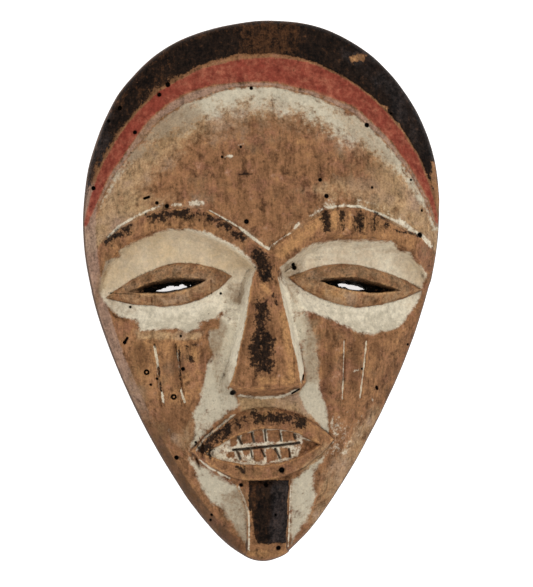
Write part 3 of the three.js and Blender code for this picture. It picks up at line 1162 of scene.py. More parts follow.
@dataclass(frozen=True)
class NetMaker:
    """Covers a square with right-angled triangles, finer where the surface asks for it.

    Attributes:
        levels: The finest grid has two to this power cells on a side.
        tolerance: How far a flat triangle may miss the surface.
        coarsest: Greatest leg of a triangle, in cells.
    """

    levels: int
    tolerance: float
    coarsest: int

    def cover(self, place: Callable[[Array, Array], Array]) -> Net:
        """Lift the net onto a surface.

        Args:
            place: Gives surface points for places of the square -1..1.

        Returns:
            The net, open at the square's edge.
        """
        cells = 2**self.levels
        along = np.linspace(-1.0, 1.0, cells + 1)
        points = place(*np.meshgrid(along, along))
        missed = self._missed(points, cells)
        triangles = self._split(missed, cells)
        used, numbers = np.unique(triangles, return_inverse=True)
        net = Net(points.reshape(-1, 3)[used], numbers.reshape(-1, 3)[:, [0, 2, 1]])
        log.info("net of %d points and %d triangles", len(net.points), len(net.triangles))
        return net

    def _missed(self, points: Array, cells: int) -> Array:
        """Measure how far each possible split moves the surface, with all splits inside it.

        Args:
            points: Surface points of the finest grid.
            cells: Cells along a side of that grid.

        Returns:
            The greatest move for the grid point in the middle of each split.
        """
        normal = np.cross(np.gradient(points, axis=1), np.gradient(points, axis=0))
        normal /= np.linalg.norm(normal, axis=2, keepdims=True) + 1e-12
        missed = np.zeros(points.shape[:2])

        def measure(rows: Array, columns: Array, row_step: int, column_step: int) -> Array:
            """Measure how far points lie off the chord between two neighbours.

            Args:
                rows: Rows of the points.
                columns: Columns of the points.
                row_step: Rows from a point to its neighbour.
                column_step: Columns from a point to its neighbour.

            Returns:
                The distances.
            """
            ahead = points[np.ix_(rows + row_step, columns + column_step)]
            behind = points[np.ix_(rows - row_step, columns - column_step)]
            here = np.ix_(rows, columns)
            return np.abs(np.sum(((ahead + behind) / 2.0 - points[here]) * normal[here], axis=2))

        def inner(rows: Array, columns: Array, steps: Sequence[tuple[int, int]]) -> Array:
            """Read what the splits inside have missed already.

            Args:
                rows: Rows of the points.
                columns: Columns of the points.
                steps: Rows and columns from a point to the inner splits.

            Returns:
                The greatest of those values.
            """
            found = [
                missed[np.ix_(np.clip(rows + dr, 0, cells), np.clip(columns + dc, 0, cells))]
                for dr, dc in steps
            ]
            return np.max(found, axis=0) if found else np.zeros((len(rows), len(columns)))

        half = 1
        while half < cells:
            quarter = half // 2
            ways = (quarter, -quarter) if quarter else ()
            corners = [(row_way, column_way) for row_way in ways for column_way in ways]
            odd = np.arange(half, cells, 2 * half)
            even = np.arange(0, cells + 1, 2 * half)
            forced = np.inf if half * 2 > self.coarsest else 0.0
            flat = np.maximum(measure(even, odd, 0, half), inner(even, odd, corners))
            missed[np.ix_(even, odd)] = np.maximum(flat, forced)
            flat = np.maximum(measure(odd, even, half, 0), inner(odd, even, corners))
            missed[np.ix_(odd, even)] = np.maximum(flat, forced)
            rising = (odd[:, None] // (2 * half) + odd[None, :] // (2 * half)) % 2 == 0
            own = np.where(rising, measure(odd, odd, half, half), measure(odd, odd, half, -half))
            sides = inner(odd, odd, [(half, 0), (-half, 0), (0, half), (0, -half)])
            missed[np.ix_(odd, odd)] = np.maximum(np.maximum(own, sides), forced)
            half *= 2
        return missed

    def _split(self, missed: Array, cells: int) -> Array:
        """Halve triangles until none misses the surface by more than the tolerance.

        Args:
            missed: What each possible split would mend.
            cells: Cells along a side of the finest grid.

        Returns:
            Three grid point numbers for each triangle.
        """
        size = cells + 1
        open_ = np.array([
            [[0, 0], [cells, cells], [cells, 0]],
            [[cells, cells], [0, 0], [0, cells]],
        ])
        done = []
        while len(open_):
            a, b, c = open_[:, 0], open_[:, 1], open_[:, 2]
            middle = (a + b) // 2
            divisible = np.abs(a - c).sum(axis=1) > 1
            split = divisible & (missed[middle[:, 1], middle[:, 0]] > self.tolerance)
            done.append(open_[~split])
            a, b, c, middle = a[split], b[split], c[split], middle[split]
            halves = [np.stack(corners, axis=1) for corners in ((c, a, middle), (b, c, middle))]
            open_ = np.concatenate(halves)
        kept = np.concatenate(done)
        return kept[:, :, 1] * size + kept[:, :, 0]


# Paint, dirty darkening, painted shade and wear: where each layer lies, seen from the front


class Layer(Enum):
    """Names of the values kept at the mesh's points for the material to read."""

    BLACK = "black"
    # Painted reflection on the black, which also lowers its roughness.
    GLOSS_AND_PAINTED_REFLECTION = "gloss_and_painted_reflection"
    RED = "red"
    CHALK = "chalk"
    CREAM = "cream"
    WASH = "wash"
    # Worn wood, with painted light on the nose's right side.
    BARE_AND_PAINTED_LIGHT = "bare_and_painted_light"
    # Stained wood, with painted shade along the outline, on the nose's left side and under the
    # lower lip.
    STAIN_AND_PAINTED_SHADE = "stain_and_painted_shade"
    # Holes and cracks, filled with near-black painted shade.
    HOLE = "hole"
    # Dark lines and darkened recesses, partly dirty and partly painted shade.
    GRIME_AND_PAINTED_SHADE = "grime_and_painted_shade"
    WARM = "warm"
    # Brown film, with painted shade beside the nose and on the lower lip.
    SOIL_AND_PAINTED_SHADE = "soil_and_painted_shade"
    # Depth below the smoothed surroundings, darkened by the material as dirty hollows and painted
    # shade.
    HOLLOW = "hollow"
    RAISED = "raised"
    # Side wall, with its dark colour also laid along the lower left edge as painted shade.
    WALL = "wall"
    # Depth of the eye slits, which the material turns into near-black painted shade.
    SLIT = "slit"
    DUST = "dust"
    THIN = "thin"


@dataclass(frozen=True)
class Area:
    """An area with a fading edge.

    Attributes:
        corners: Corners of its outline, in order.
        fade: Distance inside the outline at which the amount is 1.
        strength: Greatest amount.
    """

    corners: tuple[Point, ...]
    fade: float = 1.8
    strength: float = 1.0

    def reach(self) -> Array:
        """Give the lower left and upper right corner of all that the area touches."""
        corners = np.array(self.corners)
        return np.array([corners.min(axis=0) - self.fade, corners.max(axis=0) + self.fade])

    def amount(self, x: Array, y: Array) -> Array:
        """Give the amount: greatest well inside, 0 on the outline, -1 well outside.

        Args:
            x: Plan place across.
            y: Plan place up.

        Returns:
            The amounts.
        """
        nearest = np.full(x.shape, np.inf)
        within = np.zeros(x.shape, dtype=bool)
        for start, end in zip(self.corners, self.corners[1:] + self.corners[:1]):
            nearest = np.minimum(nearest, KnifeCut(start, end).off(x, y))
            spans = (start[1] > y) != (end[1] > y)
            rise = end[1] - start[1] or 1e-9
            crossing = start[0] + (y - start[1]) * (end[0] - start[0]) / rise
            within ^= spans & (x < crossing)
        return np.clip(np.where(within, nearest, -nearest) / self.fade, -1.0, self.strength)


@dataclass(frozen=True)
class Streak:
    """A painted or filled line.

    Attributes:
        path: Points along its middle.
        width: Half its width.
        fade: Distance over which its sides fade.
        strength: Greatest amount.
    """

    path: tuple[Point, ...]
    width: float
    fade: float = 0.5
    strength: float = 1.0

    def reach(self) -> Array:
        """Give the corners of all that the streak touches.

        Returns:
            The lower left and the upper right corner.
        """
        path = np.array(self.path)
        margin = self.width + self.fade
        return np.array([path.min(axis=0) - margin, path.max(axis=0) + margin])

    def amount(self, x: Array, y: Array) -> Array:
        """Give the amount: greatest in the middle, 0 at the side, -1 well outside.

        Args:
            x: Plan place across.
            y: Plan place up.

        Returns:
            The amounts.
        """
        pairs = zip(self.path[:-1], self.path[1:])
        nearest = np.min([KnifeCut(*ends).off(x, y) for ends in pairs], axis=0)
        return np.clip((self.width - nearest) / self.fade, -1.0, self.strength)


def most(shapes: Sequence[Area | Streak], x: Array, y: Array) -> Array:
    """Give the greatest amount among several shapes.

    Args:
        shapes: The shapes.
        x: Plan place across.
        y: Plan place up.

    Returns:
        The amounts, -1 away from every shape.
    """
    best = np.full(x.shape, -1.0)
    for shape in shapes:
        low, high = shape.reach()
        near = (x > low[0]) & (x < high[0]) & (y > low[1]) & (y < high[1])
        best[near] = np.maximum(best[near], shape.amount(x[near], y[near]))
    return best


@dataclass(frozen=True)
class Bearings:
    """How points of the front lie to the carved forms that the paint follows.

    Attributes:
        x: Plan place across.
        y: Plan place up.
        outer: Distance from the middle as a share of the outline's.
        high: 1 where the bands are painted, -1 below them.
        hair: Distance beyond the hair band's inner edge.
        above: Distance beyond the forehead's edge.
        brow_top: Distance above the brow's upper edge.
        brow_foot: Distance above the brow's lower edge.
        on_brow: 1 over the brows, 0 beyond their outer ends.
        lids: Distance inside the eyelids.
        over_lids: Distance above the eyelids' middle line.
        slits: Depth of the eye slits as a share of their floor's.
        slit_fading: 1 where the slits run out to the temples.
        slit_edge: Distance inside the slits, made less below their middle lines.
        off_nose: Distance beyond the sides of the nose's front.
        lips: Distance inside the lips' outer edge.
        teeth: Distance inside the field of teeth.
        block: Distance inside the beard block.
    """

    x: Array
    y: Array
    outer: Array
    high: Array
    hair: Array
    above: Array
    brow_top: Array
    brow_foot: Array
    on_brow: Array
    lids: Array
    over_lids: Array
    slits: Array
    slit_fading: Array
    slit_edge: Array
    off_nose: Array
    lips: Array
    teeth: Array
    block: Array

    @classmethod
    def take(cls, front: CarvedFront, x: Array, y: Array) -> "Bearings":
        """Take the bearings of points, with carved edges where the knife left them.

        Args:
            front: The carved front.
            x: Plan place across.
            y: Plan place up.

        Returns:
            The bearings.
        """
        at = front.handmade(x, y)
        eyes = front.eyes
        sides = (eyes.left, eyes.right)
        left_lid, right_lid = (side.lid.spot(*at) for side in sides)
        slit_spots = [side.slit.spot(*at) for side in sides]
        return cls(
            x=x,
            y=y,
            outer=np.hypot(*front.outline.disc(x, y)),
            high=ease(*front.bands.paint_foot, y) * 2.0 - 1.0,
            hair=front.bands.outside_hair(*at),
            above=front.bands.above_forehead(*at),
            brow_top=y - eyes.sided("brow_top", x),
            brow_foot=y - eyes.sided("brow_foot", x),
            on_brow=eyes.brow_fading(x),
            lids=np.maximum(left_lid.inside, right_lid.inside),
            over_lids=np.where(x < eyes.middle, left_lid.across, right_lid.across),
            slits=eyes.slits(*at) / eyes.slit_floor,
            slit_fading=eyes.slit_fading(at[0]),
            slit_edge=np.max([
                spot.inside - 0.9 * (spot.across < 0.0) for spot in slit_spots
            ], axis=0),
            off_nose=front.nose.off_front(*at),
            lips=front.mouth.lips.spot(*at).inside,
            teeth=front.mouth.teeth.spot(*at).inside,
            block=front.beard.inside(*at),
        )


@dataclass(frozen=True)
class PaintPlan:
    """Where each colour lies on the front.

    Attributes:
        chalk: White areas of the sockets, the sides of the nose and the chin.
        forehead_chalk: Width of the white rim of the forehead over x.
        forehead_chalk_strength: Greatest amount of that rim over x.
        cream: White lines that fill grooves.
        flecks: Areas with scattered white flecks.
        tooth_wood: Wood that shows on the teeth.
        washed_off: Wood that shows in the middle of the forehead.
        washes: Thin beige films on wood.
        black: Remains of black on brows, nose and lips.
        hair_thin: Places where the hair's black is thin and brown.
        hair_lost: Places where the hair's black is rubbed down to wood.
        hair_painted_reflection: Parts of the hair's black where a bluish reflection is painted,
            which also lowers the roughness there.
        red_above: Distance of the red from the forehead's edge over x.
        red_below: Distance of the red from the hair band over x.
        bare_and_painted_light: Fresh orange wood, and painted light on the right side of the nose's
            front.
        stains_and_painted_shade: Dark stained patches on wood, and painted shade on the nose's left
            side and under the lower lip.
        soiled_and_painted_shade: Areas with a mottled brown film, some of them painted shade beside
            the nose and on the lower lip.
        grime_and_painted_shade: Thin dark lines, partly dirty darkening and partly painted shade.
        cracks: Hairline cracks, each from and to.
        nose_rims: Widths of the white rims on the left and right side of the nose.
        beard_sides: Left edge of the beard's black, below and above the height of its step.
        beard_step: That height.
        beard_foot: Lower end of the beard's black.
        wall_facing: The unpainted wall lies where its slope faces up less than between these
            shares.
        wall_from: It begins between these shares of the outline.
    """

    chalk: tuple[Area, ...] = (
        Area((
            (-58.0, -0.7), (-57.4, 4.2), (-56.4, 7.0), (-55.3, 9.7), (-51.3, 11.6), (-50.6, 13.8),
            (-47.2, 16.2), (-42.1, 18.2), (-37.1, 20.4),
            (-34.4, 20.9), (-27.6, 21.1), (-21.9, 20.0),
            (-17.4, 18.1), (-12.7, 15.6), (-9.9, 13.9), (-5.8, 10.4), (-3.6, 7.9), (-5.1, 4.8),
            (-6.8, -1.7), (-8.6, -6.8), (-12.7, -7.2), (-16.1, -8.2), (-17.8, -9.9), (-23.2, -11.3),
            (-23.5, -13.4), (-27.2, -14.7), (-32.0, -13.7), (-35.3, -13.4), (-38.7, -14.1),
            (-43.7, -14.5), (-45.1, -10.7), (-50.9, -9.4), (-54.6, -6.2), (-57.0, -2.8),
        ), 1.2, 1.5),
        Area((
            (-4.0, 6.0), (-7.0, -6.8), (-10.0, -20.5),
            (-13.0, -32.2), (-12.6, -34.3), (-9.8, -39.4),
            (-13.9, -42.2), (-18.2, -45.3), (-24.5, -53.1), (-27.4, -56.1), (-25.5, -50.4),
            (-25.3, -46.5), (-25.7, -43.0), (-23.7, -37.8), (-22.4, -30.9), (-21.4, -28.1),
            (-21.8, -25.4), (-19.1, -21.6), (-20.9, -18.4), (-20.6, -14.0), (-17.2, -13.0),
            (-16.6, -9.0), (-12.7, -5.0), (-8.6, -4.0),
        ), 1.2, 0.75),
        Area((
            (3.5, 7.5), (7.3, 10.8), (11.4, 14.1), (15.6, 16.1), (21.2, 17.2), (28.3, 17.4),
            (43.0, 17.0), (46.8, 14.3), (50.6, 13.3), (53.4, 9.8), (57.4, 6.0), (56.4, 0.7),
            (54.1, -3.9), (51.8, -7.7), (47.3, -13.3), (42.6, -14.3), (39.6, -14.9), (36.6, -16.0),
            (30.3, -14.5), (23.0, -11.0), (15.3, -8.2), (11.8, -7.2), (9.7, -4.5), (7.3, -0.7),
            (5.2, 3.4),
        ), 1.2, 1.5),
        Area((
            (4.0, 6.9), (6.0, -2.4), (8.4, -12.0), (10.0, -18.9), (11.9, -25.7), (13.0, -32.3),
            (15.0, -34.0), (18.4, -34.0), (17.4, -27.5), (17.7, -22.3), (16.0, -15.5), (13.5, -8.6),
            (10.0, -3.4),
        ), 2.2, 0.5),
        Area((
            (13.6, -31.0), (10.1, -35.0), (12.4, -40.6),
            (19.4, -48.7), (21.6, -50.6), (20.8, -41.4),
            (18.6, -35.1), (17.0, -31.0),
        ), 1.0, 0.95),
        Area((
            (-26.5, -57.4), (-23.7, -59.8), (-15.6, -64.5), (-11.5, -66.6), (-9.4, -69.0),
            (-8.2, -72.6), (-6.8, -76.1), (-6.2, -83.3),
            (-6.0, -90.1), (-8.9, -85.1), (-13.8, -79.1),
            (-15.3, -75.5), (-18.7, -74.2), (-20.8, -71.4), (-23.9, -65.8), (-27.1, -58.1),
        ), 1.6, 0.8),
        Area((
            (8.0, -67.7), (8.6, -65.6), (14.2, -61.5), (19.9, -57.1), (21.6, -55.4), (18.5, -61.0),
            (16.4, -63.0), (16.6, -68.0), (18.2, -71.0),
            (15.9, -75.9), (15.3, -79.5), (11.1, -85.4),
            (9.4, -88.9), (8.4, -79.9),
        ), 1.6, 0.75),
    )
    forehead_chalk: Knots = (
        (-60.0, 0.5), (-50.0, 2.0), (-40.0, 4.0), (-30.0, 7.0), (-20.0, 9.0), (-8.0, 8.0),
        (4.0, 9.0), (14.0, 9.0), (26.0, 10.5), (36.0, 7.0), (46.0, 4.0), (60.0, 1.5),
    )
    forehead_chalk_strength: Knots = (
        (-60.0, 0.0), (-45.0, 0.15), (-30.0, 0.35), (-18.0, 0.8),
        (10.0, 0.75), (22.0, 0.5), (34.0, 0.4),
    )
    cream: tuple[Streak, ...] = (
        Streak(((-54.7, 18.3), (-50.6, 22.2), (-43.9, 26.1), (-36.1, 29.3)), 0.5, 0.8, 0.5),
        Streak(((-33.0, 29.1), (-30.3, 29.5)), 0.7, 1.2, 0.3),
        Streak(((-26.9, 29.8), (-22.9, 29.6)), 0.9, 1.2, 0.35),
        Streak(((-20.2, 27.2), (-13.4, 23.3), (-10.0, 21.2)), 0.35, 0.5),
        Streak(((-10.0, 21.2), (-6.6, 18.6), (-3.2, 15.9), (-0.3, 14.0)), 0.65, 0.5),
        Streak(((-0.1, 14.4), (3.7, 17.3), (7.2, 19.5)), 0.3, 0.5),
        Streak(((8.8, 21.2), (10.2, 22.8)), 0.6, 0.6),
        Streak(((14.2, 25.6), (16.4, 26.6), (19.0, 27.9)), 0.5, 1.0, 0.3),
        Streak((
            (18.0, 27.8), (24.8, 29.0), (31.9, 28.8), (39.2, 26.3), (46.6, 23.3),
        ), 0.5, 0.5, 0.7),
        Streak((
            (18.0, 29.0), (24.8, 30.4), (31.9, 30.2), (39.2, 27.7), (46.6, 24.7),
        ), 1.5, 2.0, -0.1),
        Streak(((46.6, 23.7), (50.4, 21.4), (55.1, 18.9), (58.7, 15.5)), 1.0, 1.0, 0.5),
        Streak(((-38.8, -19.6), (-37.6, -26.2)), 0.5, 0.4, 0.8),
        Streak(((-38.1, -26.0), (-37.1, -35.0)), 0.15, 0.3, 0.5),
        Streak(((-31.2, -20.4), (-29.6, -34.4)), 0.1, 0.3, 0.3),
        Streak(((37.2, -37.4), (37.6, -39.2)), 0.5, 0.5, 0.3),
        Streak(((-36.2, -35.3), (-35.8, -38.6)), 0.4, 0.4, 0.8),
        Streak(((-31.3, -20.6), (-30.5, -26.8)), 0.2, 0.4, 0.6),
        Streak(((-29.8, -34.4), (-28.6, -38.6)), 0.4, 0.4, 0.8),
        Streak(((26.3, -17.6), (26.0, -37.6)), 0.3, 0.4, 0.7),
        Streak(((34.5, -17.8), (33.9, -24.2), (32.6, -37.4)), 0.35, 0.4, 0.7),
        Streak(((28.4, -28.0), (31.4, -27.7)), 0.4, 0.5),
        Streak(((-24.6, -55.1), (-21.7, -50.8), (-15.1, -45.2), (-11.7, -42.7)), 0.4, 0.5, 0.35),
        Streak(((-23.2, -58.6), (-19.8, -61.3), (-13.0, -65.0)), 0.45, 0.6),
        Streak((
            (-10.0, -67.5), (-8.2, -71.8), (-6.4, -76.8), (-6.0, -83.2), (-5.9, -90.0),
        ), 0.4, 0.5, 0.5),
        Streak(((8.2, -67.5), (8.3, -78.0), (8.2, -89.5)), 0.3, 0.35),
        Streak(((-14.8, 45.6), (-12.4, 45.8)), 0.4, 0.5, 0.3),
        Streak(((-10.8, 49.6), (-8.0, 50.4)), 0.3, 0.5, 0.0),
        Streak(((-10.2, -36.0), (-2.4, -36.9), (4.4, -36.4), (9.6, -34.0)), 0.7, 0.9, 0.5),
    )
    flecks: tuple[Area, ...] = (
        Area((
            (22.0, -42.0), (34.0, -42.0), (36.0, -52.0), (28.0, -62.0), (22.0, -58.0),
        ), 2.0, -0.25),
        Area(((21.5, -43.0), (29.0, -48.0), (30.0, -57.0), (23.0, -56.0)), 2.0, 0.0),
        Area(((-52.0, -14.0), (-36.0, -16.0), (-34.0, -34.0), (-44.0, -36.0)), 2.0, -0.5),
        Area(((-36.0, -36.0), (-28.0, -40.0), (-30.0, -56.0), (-38.0, -52.0)), 2.0, -0.42),
        Area(((36.0, -16.0), (50.0, -10.0), (46.0, -30.0), (38.0, -34.0)), 2.0, -0.5),
        Area(((-22.0, 44.0), (12.0, 52.0), (24.0, 44.0), (20.0, 36.0), (-14.0, 34.0)), 2.0, -0.58),
        Area(((-12.0, -38.0), (10.0, -37.0), (13.0, -41.5), (-13.0, -42.0)), 1.5, -0.3),
    )
    tooth_wood: tuple[Area, ...] = (
        Area(((-13.1, -50.7), (-11.3, -50.3), (-10.9, -52.8), (-12.6, -53.5)), 0.5),
        Area(((-9.2, -49.5), (-6.3, -48.9), (-5.8, -51.9), (-8.7, -52.4)), 0.5),
        Area(((-5.2, -48.4), (-2.4, -47.9), (-2.0, -51.4), (-4.4, -51.9)), 0.5),
        Area(((-0.4, -48.1), (3.4, -48.1), (3.7, -51.4), (0.0, -51.7)), 0.5),
        Area(((4.8, -48.6), (8.3, -48.7), (8.6, -51.5), (5.1, -51.8)), 0.5),
        Area(((-14.5, -55.9), (-11.8, -55.9), (-11.8, -57.3), (-13.8, -57.5)), 0.5),
        Area(((-8.8, -55.0), (-6.6, -54.8), (-6.7, -56.1), (-8.4, -56.2)), 0.5),
        Area(((-5.0, -55.0), (-2.5, -54.8), (-1.9, -58.0), (-4.6, -58.3)), 0.5),
        Area(((-0.9, -54.7), (2.2, -54.5), (3.1, -58.0), (-0.3, -58.7)), 0.5),
        Area(((4.1, -54.5), (7.0, -54.4), (7.5, -57.2), (4.7, -57.7)), 0.5),
        Area(((12.3, -51.9), (17.3, -52.7), (13.1, -56.8), (11.0, -56.8)), 0.9, 0.6),
    )
    washed_off: Area = Area((
        (-41.0, 35.0), (-32.0, 45.0), (-18.5, 53.0), (-6.0, 57.5), (12.0, 57.5), (24.0, 51.0),
        (36.0, 43.0), (33.0, 34.0), (20.5, 30.0), (0.0, 15.0), (-12.0, 22.0), (-24.0, 29.0),
        (-37.5, 31.5),
    ), 6.0)
    washes: tuple[Area, ...] = (
        Area((
            (11.0, 35.0), (22.0, 38.5), (33.0, 38.5), (42.0, 33.5), (36.5, 30.0), (22.0, 30.5),
        ), 3.0, 0.6),
        Area((
            (-11.3, -36.0), (3.1, -36.0), (10.7, -33.6),
            (17.9, -42.0), (21.8, -48.4), (10.8, -42.6),
            (3.8, -40.8), (-9.9, -42.1),
        ), 0.8, 1.6),
        Area(((13.0, -10.0), (17.0, -10.0), (17.5, -24.0), (17.0, -36.0), (13.0, -33.0)), 1.6, 0.7),
        Area(((12.0, -58.0), (20.0, -52.0), (22.5, -54.0), (17.0, -62.0), (11.0, -63.5)), 1.6, 0.7),
        Area(((-24.0, -42.0), (-20.0, -47.5), (-28.0, -57.0), (-33.0, -52.0)), 2.5, 0.4),
        Area(((-46.0, -13.5), (-22.0, -14.0), (-24.0, -17.2), (-45.0, -17.4)), 0.8, 0.9),
        Area(((-50.0, -30.0), (-43.0, -34.0), (-42.0, -42.0), (-47.0, -38.0)), 2.0, 0.3),
        Area((
            (46.0, -42.0), (24.0, -78.0), (13.0, -91.0),
            (19.0, -66.0), (31.0, -48.0), (38.0, -40.0),
        ), 3.0, 0.6),
    )
    black: tuple[Streak, ...] = (
        Streak(((-40.5, 24.9), (-35.4, 24.8)), 1.8, 1.6),
        Streak(((-35.4, 26.2), (-28.3, 26.4)), 1.7, 1.4),
        Streak(((-28.0, 25.0), (-21.0, 25.0)), 1.4, 2.0, 0.3),
        Streak(((-20.4, 25.0), (-14.0, 21.2)), 1.7, 1.8, 0.8),
        Streak(((-12.7, 19.6), (-9.4, 18.2)), 1.6, 1.4),
        Streak(((-55.4, 16.6), (-48.2, 20.6)), 1.7, 1.8, 0.8),
        Streak(((-3.8, 12.4), (-2.4, 9.0), (-1.8, 5.4)), 2.9, 1.4),
        Streak(((19.7, 26.2), (19.7, 21.0)), 1.7, 1.2),
        Streak(((25.4, 26.6), (25.4, 21.6)), 1.2, 1.0),
        Streak(((31.0, 26.0), (30.9, 21.8)), 2.2, 1.4),
        Streak(((36.6, 24.6), (36.6, 21.6)), 1.3, 1.3),
        Streak(((41.4, 22.7), (41.4, 21.0)), 1.4, 1.4),
        Streak(((41.0, 21.5), (46.6, 20.2), (52.4, 19.6), (54.3, 18.5)), 0.6, 0.6),
        Streak(((37.3, 26.6), (42.1, 23.9)), 0.8, 0.9, 0.7),
        Streak(((0.9, -0.7), (1.9, -4.8)), 0.9, 0.9),
        Streak(((-2.8, -5.8), (-2.9, -9.6)), 2.9, 1.6),
        Streak(((-3.7, -10.5), (-3.5, -15.5)), 2.2, 1.6),
        Streak(((-3.6, -17.2), (-3.3, -24.8)), 4.2, 2.2),
        Streak(((0.4, -17.6), (0.6, -20.6)), 1.3, 1.0),
        Streak(((-0.9, -22.0), (-0.4, -26.2)), 1.2, 1.2),
        Streak(((-22.4, -54.7), (-19.1, -51.2), (-14.2, -47.4)), 2.3, 1.4, 0.9),
        Streak(((-12.6, -46.2), (-7.0, -44.2), (-4.4, -43.6)), 2.2, 1.8, 0.35),
        Streak(((-1.6, -43.9), (5.2, -43.6), (11.0, -45.2)), 2.3, 1.4, 0.8),
        Streak(((4.0, -61.7), (5.2, -63.0)), 1.0, 1.2),
        Streak(((-20.2, -52.6), (-20.0, -57.6)), 0.6, 0.5, 1.4),
        Streak(((-37.4, -26.0), (-36.6, -34.8)), 0.35, 0.35, 1.1),
        Streak(((-30.6, -19.8), (-29.9, -31.0)), 0.3, 0.35, 0.9),
        Streak(((-27.8, -19.8), (-24.8, -18.4)), 0.7, 0.9, 0.35),
        Streak(((-27.0, -23.4), (-25.2, -26.6)), 1.2, 1.4, 0.15),
        Streak(((-11.0, -60.6), (-8.4, -61.8)), 0.9, 1.2, 0.6),
    )
    hair_thin: tuple[Area, ...] = (
        Area(((-12.0, 97.0), (16.0, 97.0), (14.0, 82.0), (4.0, 78.0), (-10.0, 79.0)), 5.0, 0.9),
        Area(((-48.0, 78.0), (-38.0, 84.0), (-30.0, 80.0), (-32.0, 68.0), (-45.0, 66.0)), 6.0, 0.2),
        Area((
            (-62.0, 52.0), (-50.0, 68.0), (-40.0, 73.0),
            (-30.0, 76.0), (-44.0, 62.0), (-58.0, 44.0),
        ), 2.5, 0.0),
    )
    hair_lost: tuple[Area, ...] = (
        Area(((29.0, 81.6), (33.0, 83.2), (36.6, 82.8), (35.0, 80.4), (30.6, 79.8)), 1.2),
        Area((
            (58.5, 41.0), (61.5, 44.5), (66.0, 40.0), (66.0, 26.0), (61.0, 26.0), (60.0, 35.0),
        ), 2.0, 0.7),
        Area(((41.0, 64.6), (43.4, 64.4), (43.0, 62.6), (41.4, 62.8)), 0.6),
        Area(((45.4, 59.0), (47.6, 58.6), (47.4, 56.6), (45.6, 57.0)), 0.6),
        Area(((59.0, 45.5), (60.8, 45.0), (61.0, 36.0), (59.2, 36.0)), 0.7),
    )
    # Painted reflection: bluish parts of the hair's black along its sides.
    hair_painted_reflection: tuple[Area, ...] = (
        Area((
            (25.0, 86.0), (36.0, 84.5), (48.0, 74.0), (60.0, 57.0), (64.0, 44.0), (55.0, 46.0),
            (46.0, 61.5), (34.0, 75.5), (28.5, 79.0),
        ), 6.0, 0.3),
        Area(((-66.0, 66.0), (-52.0, 66.0), (-54.0, 48.0), (-60.0, 30.0), (-66.0, 30.0)), 5.0, 0.4),
    )
    red_above: Knots = (
        (-60.0, 0.8), (-52.0, 1.4), (-42.0, 2.6), (-22.0, 3.0), (-10.0, 1.8), (10.0, 1.5),
        (30.0, 2.0), (60.0, 1.2),
    )
    red_below: Knots = (
        (-60.0, 0.4), (-50.0, 0.0), (-42.0, 0.0), (-30.0, 0.4),
        (-15.0, 1.2), (0.0, 1.0), (20.0, 0.4),
        (60.0, 0.3),
    )
    bare_and_painted_light: tuple[Area | Streak, ...] = (
        Area((
            (17.3, 0.8), (22.0, 0.6), (28.7, -0.6), (28.7, -2.9), (24.0, -3.4), (18.5, -2.4),
        ), 1.2),
        Streak(((-55.8, -1.4), (-53.0, -0.8)), 1.2, 1.0),
        Streak(((4.0, 12.4), (16.0, 22.0)), 2.6, 2.5, 1.1),
        Streak(((-2.8, 1.6), (-0.8, -0.2)), 1.4, 1.2),
        # Painted light on the right side of the nose's front.
        Streak(((4.6, -8.0), (7.2, -30.0)), 2.2, 2.5, 0.8),
        Streak(((-4.0, -30.5), (7.0, -31.0)), 1.6, 1.8, 0.8),
        Streak(((-8.0, -65.0), (3.0, -65.4)), 1.2, 1.5),
        Streak(((-36.0, -16.6), (-24.0, -16.0)), 1.2, 2.0),
        Streak(((-6.0, -91.5), (7.0, -92.0)), 1.6, 1.5),
        Streak(((22.6, 26.3), (22.5, 21.2)), 1.4, 1.0),
        Streak(((27.9, 26.4), (27.9, 21.5)), 0.9, 0.8),
        Streak(((-3.5, -44.6), (-1.5, -42.4)), 1.1, 0.9),
        Streak(((-10.6, -67.2), (-8.8, -72.2), (-7.2, -77.0)), 0.8, 0.8),
        Area((
            (-52.0, -8.0), (-47.0, -15.0), (-26.0, -17.0),
            (-23.0, -30.0), (-27.0, -40.0), (-42.0, -38.0),
        ), 4.0, 0.3),
        Streak(((-25.6, -21.0), (-23.6, -34.0)), 1.8, 2.0, 0.6),
        Area(((22.0, -14.0), (38.0, -20.0), (50.0, -12.0), (42.0, -38.0), (24.0, -40.0)), 4.0, 0.0),
        Streak(((8.0, 18.0), (20.0, 23.6), (36.0, 23.0), (50.0, 17.0)), 3.0, 2.5, 0.25),
        Streak(((-52.0, 16.0), (-40.0, 22.5), (-26.0, 23.5), (-10.0, 16.0)), 2.5, 2.5, 0.2),
    )
